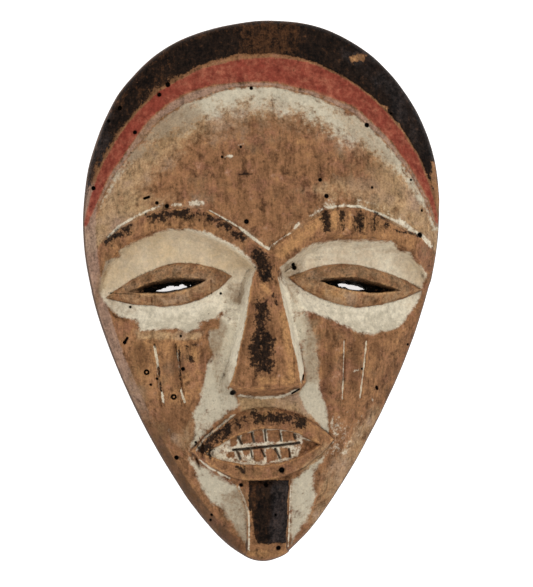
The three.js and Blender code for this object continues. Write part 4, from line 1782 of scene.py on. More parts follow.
    stains_and_painted_shade: tuple[Area | Streak, ...] = (
        # Painted shade on the left side of the nose's front.
        Streak(((-6.0, -5.0), (-9.0, -18.0), (-11.4, -28.0)), 1.2, 1.6, 0.7),
        Streak(((-44.0, -20.5), (-43.0, -25.0)), 3.0, 2.0, 0.9),
        Streak(((-32.4, -20.0), (-31.0, -33.0)), 1.4, 1.4, 0.8),
        Area((
            (-37.0, -41.0), (-27.0, -40.0), (-24.0, -52.0), (-31.0, -58.0), (-40.0, -48.0),
        ), 3.0, 0.35),
        Streak(((30.6, -18.5), (30.0, -33.0)), 2.2, 1.5, 0.7),
        Streak(((38.0, -19.0), (39.6, -23.0)), 1.8, 2.0, 0.7),
        Streak(((22.0, -19.0), (20.5, -32.0)), 1.6, 2.0, 0.6),
        Streak(((-27.0, -20.0), (-24.0, -18.5)), 1.5, 2.0),
        Streak(((-30.0, -24.0), (-28.5, -28.0)), 1.2, 1.5),
        Streak(((-20.0, 57.0), (20.0, 59.0)), 3.0, 6.0),
        Streak(((-30.0, 25.4), (-20.0, 23.6), (-10.0, 17.6)), 2.4, 3.0, 0.2),
        Streak(((45.0, -26.0), (41.0, -32.0)), 2.0, 3.0),
        Streak(((-52.0, -28.0), (-39.0, -54.0), (-23.0, -79.0), (-9.0, -92.0)), 4.0, 3.0, 1.0),
        Area(((-20.0, 50.0), (18.0, 50.0), (22.0, 34.0), (0.0, 18.0), (-24.0, 34.0)), 5.0, -0.05),
        Streak(((19.6, -24.0), (19.6, -40.0)), 1.5, 3.0, 0.7),
        Streak(((-57.3, -4.2), (-52.0, -4.8), (-47.1, -4.5)), 1.0, 1.2, 0.8),
        Streak(((24.0, -14.0), (34.0, -17.0), (44.0, -16.0)), 0.8, 1.2, 0.8),
        # Painted shadow under the lower lip.
        Streak(((-24.5, -60.0), (-12.0, -67.0), (4.0, -68.0)), 0.5, 0.8, 0.6),
    )
    soiled_and_painted_shade: tuple[Area, ...] = (
        Area((
            (-17.0, -70.0), (-9.0, -67.0), (-5.5, -74.0), (-5.5, -91.0), (-16.0, -78.0),
        ), 2.0, 0.75),
        # The next two areas are painted shade at the inner eye corners beside the nose's root.
        Area(((-15.0, 3.0), (-6.0, 5.5), (-7.5, -7.0), (-17.0, -5.0)), 2.5, 1.0),
        Area(((4.0, 9.5), (13.0, 11.0), (13.0, 3.0), (9.0, -6.0), (5.5, -1.0)), 2.5, 0.7),
        # Painted shade beside the right side of the nose.
        Area(((12.0, -10.0), (18.5, -10.0), (18.5, -34.0), (11.5, -32.0)), 2.5, 0.7),
        Area((
            (-18.0, -33.0), (-22.0, -20.0), (-21.0, -12.0), (-16.0, -8.0), (-13.0, -12.0),
        ), 2.0, 0.9),
        Area((
            (-52.0, 40.0), (-42.0, 60.0), (-22.0, 68.0), (-20.0, 59.0), (-38.0, 46.0),
        ), 3.0, 0.75),
        Area(((-13.0, -35.0), (11.0, -33.0), (15.0, -42.0), (-15.0, -43.0)), 2.0, 0.05),
        Area(((22.0, 50.0), (40.0, 46.0), (54.0, 32.0), (38.0, 31.0), (24.0, 36.0)), 4.0, 0.5),
        # Painted shade on the lower part of the lower lip.
        Area(((-15.0, -59.0), (0.0, -61.0), (8.0, -60.0), (6.0, -63.6), (-8.0, -65.0)), 1.2, 0.85),
        Area((
            (-45.0, -22.0), (-30.0, -60.0), (-12.0, -86.0), (-20.0, -86.0), (-52.0, -38.0),
        ), 3.0, 0.55),
        Area(((-58.0, 12.0), (-52.0, 14.0), (-58.0, -10.0), (-62.0, -10.0)), 2.0, 0.75),
        Area(((20.0, 67.0), (34.0, 60.0), (48.0, 44.0), (44.0, 42.0), (28.0, 54.0)), 3.0, 0.45),
        Area(((-10.0, 71.0), (12.0, 71.0), (12.0, 63.0), (-8.0, 62.0)), 3.0, 0.15),
        Area(((9.0, -7.5), (21.0, -10.0), (23.5, -16.0), (14.5, -18.0)), 1.5, 0.6),
        Area(((-58.0, -3.0), (-45.0, -4.0), (-43.0, -9.0), (-52.0, -10.0)), 2.0, 0.6),
        Area(((-19.0, -25.0), (-12.0, -24.0), (-10.0, -36.0), (-18.0, -36.0)), 2.0, 0.5),
    )
    # Thin dark lines in creases, under the nose's tip and along the scars, partly dirty and partly
    # painted shade.
    grime_and_painted_shade: tuple[Streak, ...] = (
        Streak(((12.7, -1.0), (19.7, -5.2), (26.9, -7.3)), 0.5, 0.6),
        Streak(((10.6, 9.6), (17.9, 11.4), (28.6, 11.9), (38.1, 9.8)), 0.9, 1.2, 1.4),
        Streak(((-12.0, 5.0), (-14.0, 1.0), (-22.0, -5.0), (-34.0, -8.6)), 0.3, 0.9, 0.5),
        Streak(((-9.0, -1.5), (-15.0, -3.5), (-26.0, -8.0), (-40.0, -9.0)), 0.5, 0.9, 0.4),
        Streak(((-11.0, -36.4), (-2.0, -38.0), (6.0, -37.6), (10.5, -35.0)), 0.6, 1.2, 0.5),
        Streak(((-38.9, -18.7), (-38.6, -19.6)), 0.6, 0.4),
        Streak(((-37.4, -26.2), (-36.4, -35.2)), 0.55, 0.4),
        Streak(((-31.9, -18.7), (-31.0, -24.0), (-29.9, -34.0)), 0.55, 0.4),
        Streak(((27.2, -17.8), (27.0, -37.4)), 0.4, 0.4),
        Streak(((35.1, -18.0), (33.2, -37.4)), 0.35, 0.4, 0.7),
    )
    cracks: tuple[tuple[Point, Point], ...] = (
        ((-10.2, 39.6), (-5.4, 39.9)), ((-7.6, 41.6), (-7.0, 38.4)), ((-6.0, 40.8), (-5.0, 38.6)),
        ((-24.0, -49.6), (-22.6, -53.0)), ((28.6, -30.6), (30.6, -33.4)),
        ((-8.1, -36.1), (-2.4, -36.2)), ((-2.4, -36.2), (2.1, -36.3)), ((4.4, -35.8), (9.2, -33.4)),
        ((-44.0, -1.6), (-58.0, -0.8)), ((6.0, 6.2), (9.5, 8.6)),
    )
    nose_rims: Point = (2.4, 3.4)
    beard_sides: Point = (-5.6, -6.6)
    beard_step: float = -76.0
    beard_foot: float = -88.1
    wall_facing: Point = (0.6, 0.25)
    wall_from: Point = (0.93, 0.97)

    def _chalk(self, at: Bearings, tip: float) -> Array:
        """Lay the chalk of the sockets, the nose's sides, the chin and the forehead's rim.

        Args:
            at: The points.
            tip: Height of the nose's lower end.

        Returns:
            Amounts of chalk.
        """
        chalk = most(self.chalk, at.x, at.y)
        beside_nose = (at.y < 6.0) & (at.y > tip)
        chalk = np.where(beside_nose, np.minimum(chalk, at.off_nose / 0.5), chalk)
        rim = np.minimum(1.0 + at.above / curve(self.forehead_chalk, at.x), -at.above / 0.5)
        strength = curve(self.forehead_chalk_strength, at.x)
        chalk = np.maximum(chalk, np.clip(rim * 1.1, -1.0, strength))
        chalk = np.minimum(chalk, np.minimum(-at.lids, -at.lips) / 0.35)
        return np.where(at.y < -66.0, np.minimum(chalk, -at.block / 0.35), chalk)

    def _cream(self, at: Bearings) -> Array:
        """Lay the thick white of grooves and flecks, beside the nose and between the teeth.

        Args:
            at: The points.

        Returns:
            Amounts of thick white.
        """
        width = np.where(at.x < 0.0, *self.nose_rims) * ease(-34.0, -26.0, at.y)
        rim = np.minimum((at.off_nose - 0.1) / 0.4, (width - at.off_nose) / 0.8)
        rim = np.minimum(rim, np.minimum((at.y + 33.0) / 2.0, (5.0 - at.y) / 4.0))
        teeth = np.minimum(-most(self.tooth_wood, at.x, at.y), at.teeth / 0.4)
        lines = most((*self.cream, *self.flecks), at.x, at.y)
        return np.max([lines, 0.6 * teeth - 0.2, np.minimum(rim, 0.8)], axis=0)

    def _wash(self, at: Bearings) -> Array:
        """Lay the thin films of the forehead and the eyelids.

        Args:
            at: The points.

        Returns:
            Amounts of film.
        """
        forehead = np.min([
            -self.washed_off.amount(at.x, at.y), -at.above / 2.0, at.high, at.brow_top,
        ], axis=0)
        films = most(self.washes, at.x, at.y)
        return np.max([films, forehead, np.minimum(at.lids / 1.5, 0.35)], axis=0)

    def _dust(self, at: Bearings) -> Array:
        """Lay the grey of the groove under the red band and of the left edge.

        Args:
            at: The points.

        Returns:
            Amounts of grey.
        """
        groove = np.minimum(at.above / 0.4, (curve(self.red_above, at.x) - at.above) / 0.8)
        left = np.min([(-30.0 - at.x) / 4.0, (38.0 - at.y) / 4.0, (at.y + 46.0) / 10.0], axis=0)
        edge = np.minimum(np.clip((at.outer - 0.955) / 0.012, -1.0, 0.9), left)
        return np.maximum(np.minimum(groove, at.high), edge)

    def _dark_paint(self, at: Bearings) -> dict[Layer, Array]:
        """Lay the black of hair, beard, brows, nose and lips, its painted reflection, and the wood
        that shows through.

        Args:
            at: The points.

        Returns:
            Amounts of the black, of its painted reflection, and of the layers that go with its
            wear, which also carry painted light on the nose and painted shade along the outline.
        """
        in_hair = np.minimum(at.hair / 0.6, at.high)
        lost = most(self.hair_lost, at.x, at.y)
        rubbed_edge = np.minimum(ease(0.965, 1.0, at.outer) * 1.1 - 0.75, (16.0 - at.x) / 12.0)
        thin = np.maximum(most(self.hair_thin, at.x, at.y), rubbed_edge)
        rubbed = np.minimum((2.8 - at.hair) / 3.0, -(at.x + 6.0) / 12.0)
        hair = np.minimum(in_hair, 1.0) * 1.6
        hair -= 0.5 * np.clip(thin + 0.6, 0.0, 1.0) + 2.4 * np.clip(lost + 0.6, 0.0, 1.0)
        hair -= 1.1 * np.clip(rubbed + 0.2, 0.0, 1.0)
        under_step = np.minimum(at.y - self.beard_step, 0.0)
        left_edge = np.where(at.y < self.beard_step, *self.beard_sides) - 0.16 * under_step
        beard = np.min([
            (at.block - 0.2) / 0.5, at.y - self.beard_foot, (at.x - left_edge) / 0.6,
        ], axis=0)
        # Painted reflection on the right half of the beard block.
        gloss_and_painted_reflection = np.minimum((at.x - 0.5) / 1.5, beard)
        # Painted shade: darker towards the outline.
        edge_painted_shade = 0.4 * ease(0.95, 0.99, at.outer) - 0.2
        under_hair = np.minimum(in_hair, 0.5 - 1.5 * lost)
        return {
            Layer.BLACK: np.max([hair, 1.4 * beard, 0.75 * most(self.black, at.x, at.y)], axis=0),
            Layer.GLOSS_AND_PAINTED_REFLECTION: np.maximum(most(self.hair_painted_reflection, at.x, at.y), gloss_and_painted_reflection),
            Layer.THIN: np.maximum(thin, np.minimum((0.5 - at.x) / 3.0, at.block) - 1.0),
            Layer.BARE_AND_PAINTED_LIGHT: np.maximum(most(self.bare_and_painted_light, at.x, at.y), np.minimum(lost, in_hair)),
            Layer.STAIN_AND_PAINTED_SHADE: np.max([most(self.stains_and_painted_shade, at.x, at.y), under_hair, edge_painted_shade], axis=0),
        }

    def _grime_and_painted_shade(self, at: Bearings, mouth: Mouth) -> Array:
        """Lay the dirty darkening and the painted shade in grooves, between the teeth and in and
        around the eye slits.

        Args:
            at: The points.
            mouth: The mouth with its cuts.

        Returns:
            Amounts of dirty darkening and painted shade.
        """
        x, y = at.x, at.y
        tooth_lines = np.max([line(cut.off(x, y), cut.width + 0.4) for cut in mouth.cuts], axis=0)
        bite = 2.2 * line(mouth.bite.off(x, y), 0.8)
        # Painted shade: the lines round the eyelids, and the darkening that deepens with the eye
        # slits and rings them, heavier above.
        # Partly dirty and partly painted shade: the line along the forehead's edge, the darker
        # upper eyelids, and the lines at the brows' feet, the lips, the teeth, the cuts, the nicks
        # and the listed lines.
        return np.max([
            np.minimum(0.9 * line(at.above, 0.7), at.high),
            0.5 * line(at.lids + 0.1, 0.8),
            np.minimum(0.5 * line(at.brow_foot + 0.2, 1.2), at.on_brow),
            np.minimum(1.6 * at.slits, 1.1) - 0.9 * at.slit_fading,
            np.minimum(0.9 + at.slit_edge / 1.6, at.lids / 0.8) - 0.3 * at.slit_fading,
            np.minimum(np.minimum(at.over_lids / 2.0 + 0.7, 0.7), at.lids / 0.8),
            0.5 * line(at.lips, 0.8),
            0.5 * line(at.teeth, 0.7),
            np.minimum(np.maximum(1.5 * tooth_lines, bite), at.teeth / 0.3),
            *(0.7 * line(nick.off(x, y), 1.0) for nick in mouth.nicks),
            0.8 * most(self.grime_and_painted_shade, x, y),
        ], axis=0)

    def _wall_and_painted_shade(self, at: Bearings, facing_up: Array) -> Array:
        """Find the unpainted side wall and the band of painted shade along the lower left edge.

        Args:
            at: The points.
            facing_up: Upward part of the surface's direction.

        Returns:
            Amounts of wall colour, with the painted shade band.
        """
        side = ease(*self.wall_facing, facing_up) * ease(*self.wall_from, at.outer)
        # Painted shade: the wall's dark colour along the lower left edge of the front.
        lower_left_painted_shade = ease(-38.0, -54.0, at.y) * ease(-2.0, -12.0, at.x)
        return np.maximum(side, 0.62 * ease(0.955, 0.972, at.outer) * lower_left_painted_shade)

    def layers(
        self, front: CarvedFront, x: Array, y: Array, facing_up: Array
    ) -> dict[Layer, Array]:
        """Work out the painted layers.

        Args:
            front: The carved front that the paint follows.
            x: Plan place across.
            y: Plan place up.
            facing_up: Upward part of the surface's direction.

        Returns:
            An amount for each painted layer and point, 0 at its edge.
        """
        at = Bearings.take(front, x, y)
        from_below = at.above - curve(self.red_above, x)
        from_above = -(at.hair + curve(self.red_below, x))
        on_left = 1.0 - 0.6 * ease(0.0, 10.0, x)
        cracks = most([Streak(ends, 0.12, 1.0) for ends in self.cracks], x, y)
        return self._dark_paint(at) | {
            Layer.RED: np.min([from_below / 0.6, from_above / 0.6, at.high], axis=0),
            Layer.CHALK: self._chalk(at, front.nose.tip),
            Layer.CREAM: self._cream(at),
            Layer.WASH: self._wash(at),
            Layer.DUST: self._dust(at),
            Layer.SOIL_AND_PAINTED_SHADE: most(self.soiled_and_painted_shade, x, y),
            Layer.WARM: np.min([at.over_lids / 4.0 + 0.2, -at.brow_foot / 1.5, on_left], axis=0),
            Layer.GRIME_AND_PAINTED_SHADE: self._grime_and_painted_shade(at, front.mouth),
            Layer.SLIT: at.slits,
            Layer.HOLE: np.maximum(front.wormholes.inside(x, y), cracks),
            Layer.WALL: self._wall_and_painted_shade(at, facing_up),
        }


@dataclass(frozen=True)
class ReliefReader:
    """Finds hollows, which the material darkens as dirty hollows and painted shade, and raised
    edges, where paint rubs off.

    Attributes:
        step: Spacing of the height grid.
        reach: How far the surroundings reach.
        margin: How far the grid runs past the points.
    """

    step: float = 0.2
    reach: float = 0.6
    margin: float = 2.0

    def layers(self, front: CarvedFront, x: Array, y: Array) -> dict[Layer, Array]:
        """Measure the relief around each point.

        Args:
            front: The carved front.
            x: Plan place across.
            y: Plan place up.

        Returns:
            Depths below, or heights above, the smoothed surroundings.
        """
        left, low = x.min() - self.margin, y.min() - self.margin
        across = np.arange(left, x.max() + self.margin, self.step)
        up = np.arange(low, y.max() + self.margin, self.step)
        heights = front.height(*np.meshgrid(across, up))
        smooth = self._smoothed(heights)

        def read(grid: Array) -> Array:
            """Read a grid between its values.

            Args:
                grid: Values on the height grid.

            Returns:
                The values at the points.
            """
            u, v = (x - left) / self.step, (y - low) / self.step
            i, j = u.astype(int), v.astype(int)
            s, t = u - i, v - j
            bottom = grid[j, i] * (1.0 - s) + grid[j, i + 1] * s
            top = grid[j + 1, i] * (1.0 - s) + grid[j + 1, i + 1] * s
            return bottom * (1.0 - t) + top * t

        return {
            Layer.HOLLOW: read(np.maximum(smooth - heights, 0.0)),
            Layer.RAISED: read(np.maximum(heights - smooth, 0.0)),
        }

    def _smoothed(self, grid: Array) -> Array:
        """Smooth a grid with a bell-shaped brush.

        Args:
            grid: Heights on the grid.

        Returns:
            The smoothed heights.
        """
        size = int(3.0 * self.reach / self.step)
        brush = bell(np.arange(-size, size + 1) * self.step, self.reach * math.sqrt(2.0))
        brush /= brush.sum()
        padded = np.pad(grid, size, mode="edge")
        rows = sum(share * padded[k : k + grid.shape[0], :] for k, share in enumerate(brush))
        return sum(share * rows[:, k : k + grid.shape[1]] for k, share in enumerate(brush))


# Materials


Colour = tuple[float, float, float, float]


def colour(code: str) -> Colour:
    """Turn a display colour into the linear colour that shaders use.

    Args:
        code: Six hexadecimal digits after a number sign.

    Returns:
        Linear red, green, blue and full opacity.
    """
    parts = [int(code[k : k + 2], 16) / 255.0 for k in (1, 3, 5)]
    linear = [p / 12.92 if p <= 0.04045 else ((p + 0.055) / 1.055) ** 2.4 for p in parts]
    return (linear[0], linear[1], linear[2], 1.0)


class Wire:
    """One output of a shader node, usable in Python arithmetic."""

    def __init__(self, graph: "Graph", socket: bpy.types.NodeSocket) -> None:
        """Wrap an output.

        Args:
            graph: The graph that the node belongs to.
            socket: The output.
        """
        self.graph = graph
        self.socket = socket

    @property
    def is_vector(self) -> bool:
        """Whether the output carries a vector or colour."""
        return self.socket.type in {"VECTOR", "RGBA"}

    def __add__(self, other: "Wire | float") -> "Wire":
        """Add."""
        return self.graph.combine("ADD", self, other)

    def __radd__(self, other: float) -> "Wire":
        """Add to a number."""
        return self.graph.combine("ADD", other, self)

    def __sub__(self, other: "Wire | float") -> "Wire":
        """Subtract."""
        return self.graph.combine("SUBTRACT", self, other)

    def __rsub__(self, other: float) -> "Wire":
        """Subtract from a number."""
        return self.graph.combine("SUBTRACT", other, self)

    def __mul__(self, other: "Wire | float | Sequence[float]") -> "Wire":
        """Multiply."""
        return self.graph.combine("MULTIPLY", self, other)

    def __rmul__(self, other: "float | Sequence[float]") -> "Wire":
        """Multiply a number."""
        return self.graph.combine("MULTIPLY", other, self)

    def most(self, other: "Wire | float") -> "Wire":
        """Take the greater value."""
        return self.graph.combine("MAXIMUM", self, other)

    def ramp(self, start: float, end: float) -> "Wire":
        """Rise smoothly from 0 to 1.

        Args:
            start: Value that gives 0; may be greater than end.
            end: Value that gives 1.

        Returns:
            The risen value.
        """
        flip = start > end
        low, high = (end, start) if flip else (start, end)
        inputs = {"Value": self, "From Min": low, "From Max": high}
        inputs |= {"To Min": 1.0, "To Max": 0.0} if flip else {"To Min": 0.0, "To Max": 1.0}
        return self.graph.node("ShaderNodeMapRange", inputs, interpolation_type="SMOOTHSTEP")


class Graph:
    """Builds the node graph of one material."""

    def __init__(self, name: str) -> None:
        """Start a material with an empty graph.

        Args:
            name: Name of the material.
        """
        self.material = bpy.data.materials.new(name)
        self.material.use_nodes = True
        self.tree = self.material.node_tree
        self.tree.nodes.clear()

    def node(
        self, kind: str, inputs: dict[str | int, Any], output: str | int = 0, **settings: Any
    ) -> Wire:
        """Add a node.

        Args:
            kind: Node type.
            inputs: Values or wires by input name or number.
            output: Which output to return.
            **settings: Node settings.

        Returns:
            The chosen output.
        """
        node = self.tree.nodes.new(kind)
        for name, value in settings.items():
            setattr(node, name, value)
        for name, value in inputs.items():
            if isinstance(value, Wire):
                self.tree.links.new(value.socket, node.inputs[name])
            else:
                node.inputs[name].default_value = value
        return Wire(self, node.outputs[output])

    def combine(self, operation: str, a: Any, b: Any) -> Wire:
        """Combine two values or vectors with a maths node.

        Args:
            operation: Name of the operation.
            a: First wire, number or vector.
            b: Second wire, number or vector.

        Returns:
            The result.
        """
        if not any(isinstance(part, Wire) and part.is_vector for part in (a, b)):
            return self.node("ShaderNodeMath", {0: a, 1: b}, operation=operation)
        spread = [(part,) * 3 if isinstance(part, (int, float)) else part for part in (a, b)]
        return self.node("ShaderNodeVectorMath", {0: spread[0], 1: spread[1]}, operation=operation)

    def mix(self, share: Wire, under: Wire | str, over: Wire | str) -> Wire:
        """Lay one colour over another.

        Args:
            share: How much of the upper colour shows.
            under: Lower colour, as a wire or a display colour.
            over: Upper colour, likewise.

        Returns:
            The mixed colour.
        """
        lower, upper = (colour(part) if isinstance(part, str) else part for part in (under, over))
        return self.node("ShaderNodeMix", {0: share, 6: lower, 7: upper}, 2, data_type="RGBA")

    def layer(self, layer: Layer) -> Wire:
        """Read a value kept at the mesh's points."""
        return self.node("ShaderNodeAttribute", {}, "Fac", attribute_name=layer.value)

    def place(self) -> Wire:
        """Give the place on the object in millimetres."""
        return self.node("ShaderNodeTexCoord", {}, "Object") * (1.0 / MM)

    def noise(
        self, place: Wire, size: float, detail: float = 3.0, rough: float = 0.55,
        stretch: Sequence[float] = (1.0, 1.0, 1.0), swirl: float = 0.0,
    ) -> Wire:
        """Make noise.

        Args:
            place: Place in millimetres.
            size: Size of its spots in millimetres.
            detail: Number of finer octaves.
            rough: Strength of the finer octaves.
            stretch: Factors on the place along each axis.
            swirl: How far the spots are curled.

        Returns:
            Values spread about 0, mostly within -1 and 1.
        """
        vector = place if tuple(stretch) == (1.0, 1.0, 1.0) else place * tuple(stretch)
        inputs = {
            "Vector": vector, "Scale": 1.0 / size, "Detail": detail, "Roughness": rough,
            "Distortion": swirl,
        }
        return (self.node("ShaderNodeTexNoise", inputs) - 0.5) * 4.0

    def surface(
        self, inputs: dict[str, Any], height: Wire | None = None, relief: float = 1.0
    ) -> None:
        """Finish the graph with a surface.

        Args:
            inputs: Values or wires of the surface.
            height: Fine relief in millimetres.
            relief: Strength of that relief.
        """
        if height is not None:
            bump = {"Height": height, "Strength": relief, "Distance": MM}
            inputs = inputs | {"Normal": self.node("ShaderNodeBump", bump)}
        shader = self.node("ShaderNodeBsdfPrincipled", inputs)
        end = self.tree.nodes.new("ShaderNodeOutputMaterial")
        self.tree.links.new(shader.socket, end.inputs["Surface"])


class Ground:
    """A material's graph with the noises and layers that its colours depend on.

    Attributes:
        graph: The graph.
        layer: The values kept at the mesh's points.
        broad: Noise in spots of 16 mm.
        patch: Noise in spots of 5 mm.
        blotch: Noise in spots of 2 mm.
        fine: Noise in spots below 1 mm.
        clouds: Noise in curled clouds.
        specks: Noise in sharp specks.
        streaks: Brush marks across the mask.
        grain: Wood grain along the mask.
        lines: Thin uneven lines along the grain.
    """

    def __init__(self, name: str) -> None:
        """Start a material and make its noises.

        Args:
            name: Name of the material.
        """
        g = Graph(name)
        place = g.place()
        self.graph = g
        self.layer = {kept: g.layer(kept) for kept in Layer}
        self.broad = g.noise(place, 16.0, 2.0)
        self.patch = g.noise(place, 5.0, 3.0)
        self.blotch = g.noise(place, 1.8, 3.0, 0.6)
        self.fine = g.noise(place, 0.75, 2.0, 0.7)
        self.clouds = g.noise(place, 3.2, 4.0, 0.65, (1.0, 0.6, 1.0), 0.6)
        self.specks = g.noise(place, 0.8, 1.0, 0.9)
        self.streaks = g.noise(place, 1.4, 3.0, 0.6, (0.12, 1.0, 1.0))
        self.grain = g.noise(place, 1.1, 3.0, 0.6, (1.0, 0.1, 0.5))
        self.lines = g.noise(place, 0.7, 2.0, 0.7, (1.0, 0.13, 0.3), 0.4)


@dataclass(frozen=True)
class PaintedWood:
    """Old carved wood with remains of chalk, red and black paint.

    Attributes:
        wood: The wood.
        wood_dark: Its dark grain and stained patches, also laid as painted shade along the outline,
            on the nose's left side and under the lower lip.
        wood_light: Freshly rubbed wood, also laid as painted light on the nose's right side.
        wood_grey: Weathered wood.
        wood_rose: Reddish wood.
        wash: Thin beige film.
        wash_pink: Thin pinkish film.
        chalk: Chalk.
        chalk_light: Thick clean chalk.
        chalk_grey: Dirty chalk.
        chalk_warm: Yellowed chalk.
        red: Red paint.
        red_light: Thin red paint.
        red_dark: Dirty red paint.
        black: Black paint.
        black_brown: Black paint rubbed thin.
        black_painted_reflection: Bluish grey painted on the black as a reflection.
        dirt_and_painted_shade: Dark colour of dirty cracks and grooves, also used as painted shade
            in creases, hollows and recesses.
        hole: Near-black painted shade inside the holes and cracks and deep in the eye slits.
        soil_and_painted_shade: Mottled brown film on chalk and wood, also laid as painted shade
            beside the nose and on the lower lip.
        wall: Handled wood of the side wall, also laid along the lower left edge as painted shade.
        dust: Grey dust.
    """

    wood: str = "#976c4a"
    wood_dark: str = "#5c3d26"
    wood_light: str = "#bb8b5b"
    wood_grey: str = "#86694f"
    wood_rose: str = "#8e614a"
    wash: str = "#b3966f"
    wash_pink: str = "#a98c76"
    chalk: str = "#cfbca0"
    chalk_light: str = "#e3d8c0"
    chalk_grey: str = "#aba089"
    chalk_warm: str = "#cbac7c"
    red: str = "#83392d"
    red_light: str = "#a8674f"
    red_dark: str = "#5f241c"
    black: str = "#120c09"
    black_brown: str = "#3f2716"
    black_painted_reflection: str = "#303134"
    dirt_and_painted_shade: str = "#2e1f14"
    hole: str = "#080503"
    soil_and_painted_shade: str = "#77593a"
    wall: str = "#4f3f34"
    dust: str = "#9d8170"

    def _wood(self, at: Ground) -> Wire:
        """Colour the unpainted wood.

        Args:
            at: The noises and layers.

        Returns:
            The colour of worn, weathered and stained wood, with painted light and painted shade
            laid in through the worn and stained layers.
        """
        mix, layer = at.graph.mix, at.layer
        light = at.grain * 0.6 + at.patch * 0.55 + at.clouds * 0.85 + layer[Layer.RAISED] * 1.6
        tone = mix(light.ramp(-1.3, 0.55), self.wood_dark, self.wood)
        # Fresh worn wood, with painted light on the nose's right side.
        bare_and_painted_light = (layer[Layer.BARE_AND_PAINTED_LIGHT] + at.grain * 0.4 + at.blotch * 0.4 - 0.1).ramp(-0.3, 0.8) * 0.9
        worn = (light - 0.3 + at.broad * 0.4).ramp(0.0, 1.0) * 0.8
        tone = mix(bare_and_painted_light.most(worn), tone, self.wood_light)
        grey = (at.patch * 0.6 + at.broad * 0.8 - at.grain * 0.3).ramp(0.15, 1.0) * 0.6
        tone = mix(grey, tone, self.wood_grey)
        rose = at.broad * 0.6 - at.patch * 0.6 + at.blotch * 0.4 + at.grain * 0.3
        tone = mix(rose.ramp(-0.2, 0.9) * 0.7, tone, self.wood_rose)
        # Stained patches, with painted shade along the outline, on the nose's left side and under
        # the lower lip.
        stain_and_painted_shade = layer[Layer.STAIN_AND_PAINTED_SHADE] + at.patch * 0.5 + at.blotch * 0.5 + at.clouds * 0.5
        tone = mix(stain_and_painted_shade.ramp(-0.3, 1.1) * 0.75, tone, self.wood_dark)
        film = (at.clouds * 0.7 + at.blotch * 0.5 - at.patch * 0.4).ramp(0.45, 1.3)
        return mix(film * 0.5, tone, self.wash_pink)

    def _films(self, at: Ground, tone: Wire) -> Wire:
        """Lay the thin films of wash and dust.

        Args:
            at: The noises and layers.
            tone: The colour under them.

        Returns:
            The colour with them.
        """
        mix, layer = at.graph.mix, at.layer
        cloudy = at.broad * 0.4 + at.patch * 0.6 + at.blotch * 0.4 + at.fine * 0.2
        washed = (layer[Layer.WASH] + cloudy).ramp(-0.5, 1.3)
        pink = (at.patch * 0.5 + at.broad * 0.5).ramp(-0.4, 0.8)
        tone = mix(washed * 0.75, tone, mix(pink, self.wash, self.wash_pink))
        dusty = (layer[Layer.DUST] + at.patch * 0.3 + at.blotch * 0.3).ramp(-0.2, 0.8)
        return mix(dusty * 0.7, tone, self.dust)

    def _chalk(self, at: Ground) -> Wire:
        """Colour the chalk.

        Args:
            at: The noises and layers.

        Returns:
            The colour of clean, yellowed and dirty chalk.
        """
        mix, warm = at.graph.mix, at.layer[Layer.WARM]
        brushed = at.patch * 0.5 + at.blotch * 0.4 + at.streaks * 0.6 - warm * 0.5 + 0.2
        tone = mix(brushed.ramp(-0.6, 0.9), self.chalk, self.chalk_light)
        yellowed = warm * 0.7 + at.broad * 0.4 + at.blotch * 0.3 + at.streaks * 0.3
        tone = mix(yellowed.ramp(0.1, 1.3) * 0.6, tone, self.chalk_warm)
        dirty = at.patch * 0.5 - at.blotch * 0.45 - warm * 0.3
        return mix(dirty.ramp(0.2, 1.2) * 0.55, tone, self.chalk_grey)

    def _red(self, at: Ground) -> Wire:
        """Colour the red paint.

        Args:
            at: The noises and layers.

        Returns:
            The colour of thin, full and dirty red.
        """
        mix = at.graph.mix
        thin = at.blotch * 0.6 + at.patch * 0.4 + at.broad * 0.4 - at.layer[Layer.RED] * 0.4
        tone = mix(thin.ramp(-0.8, 0.9) * 0.9, self.red, self.red_light)
        dirty = (at.patch * 0.6 - at.blotch * 0.5).ramp(0.2, 1.1)
        return mix(dirty * 0.6, tone, self.red_dark)

    def _black(self, at: Ground, gloss_and_painted_reflection: Wire) -> Wire:
        """Colour the black paint.

        Args:
            at: The noises and layers.
            gloss_and_painted_reflection: Where a bluish reflection is painted on the black.

        Returns:
            The colour of full and thin black, with its painted reflection.
        """
        mix = at.graph.mix
        worn = (at.grain * 0.4 + at.blotch * 0.5 + at.fine * 0.6).ramp(0.1, 1.2)
        tone = mix(worn * 0.8, self.black, self.black_brown)
        browned = at.layer[Layer.THIN] + at.grain * 0.6 + at.blotch * 0.5 + at.fine * 0.3
        tone = mix(browned.ramp(0.0, 1.3) * 0.9, tone, self.black_brown)
        # Painted reflection: bluish grey laid into the black.
        return mix(gloss_and_painted_reflection * 0.4, tone, self.black_painted_reflection)

    def material(self) -> bpy.types.Material:
        """Make the material, with each colour laid over the ones before.

        Returns:
            The material.
        """
        at = Ground("painted_wood")
        mix, layer = at.graph.mix, at.layer
        cracks = (at.lines + at.fine * 0.3).ramp(0.35, 1.2)
        tone = self._films(at, mix(cracks * 0.55, self._wood(at), self.dirt_and_painted_shade))

        edge = at.patch * 0.4 + at.blotch * 0.35 + at.fine * 0.25
        chalk = (layer[Layer.CHALK] + edge).ramp(-0.25, 0.75)
        tone = mix(chalk * 0.96, tone, self._chalk(at))
        broken = at.fine * 0.35 + at.blotch * 0.5 + at.patch * 0.3
        cream = (layer[Layer.CREAM] * 1.3 + broken).ramp(-0.1, 0.8) * 0.9
        tone = mix(cream, tone, self.chalk_light)
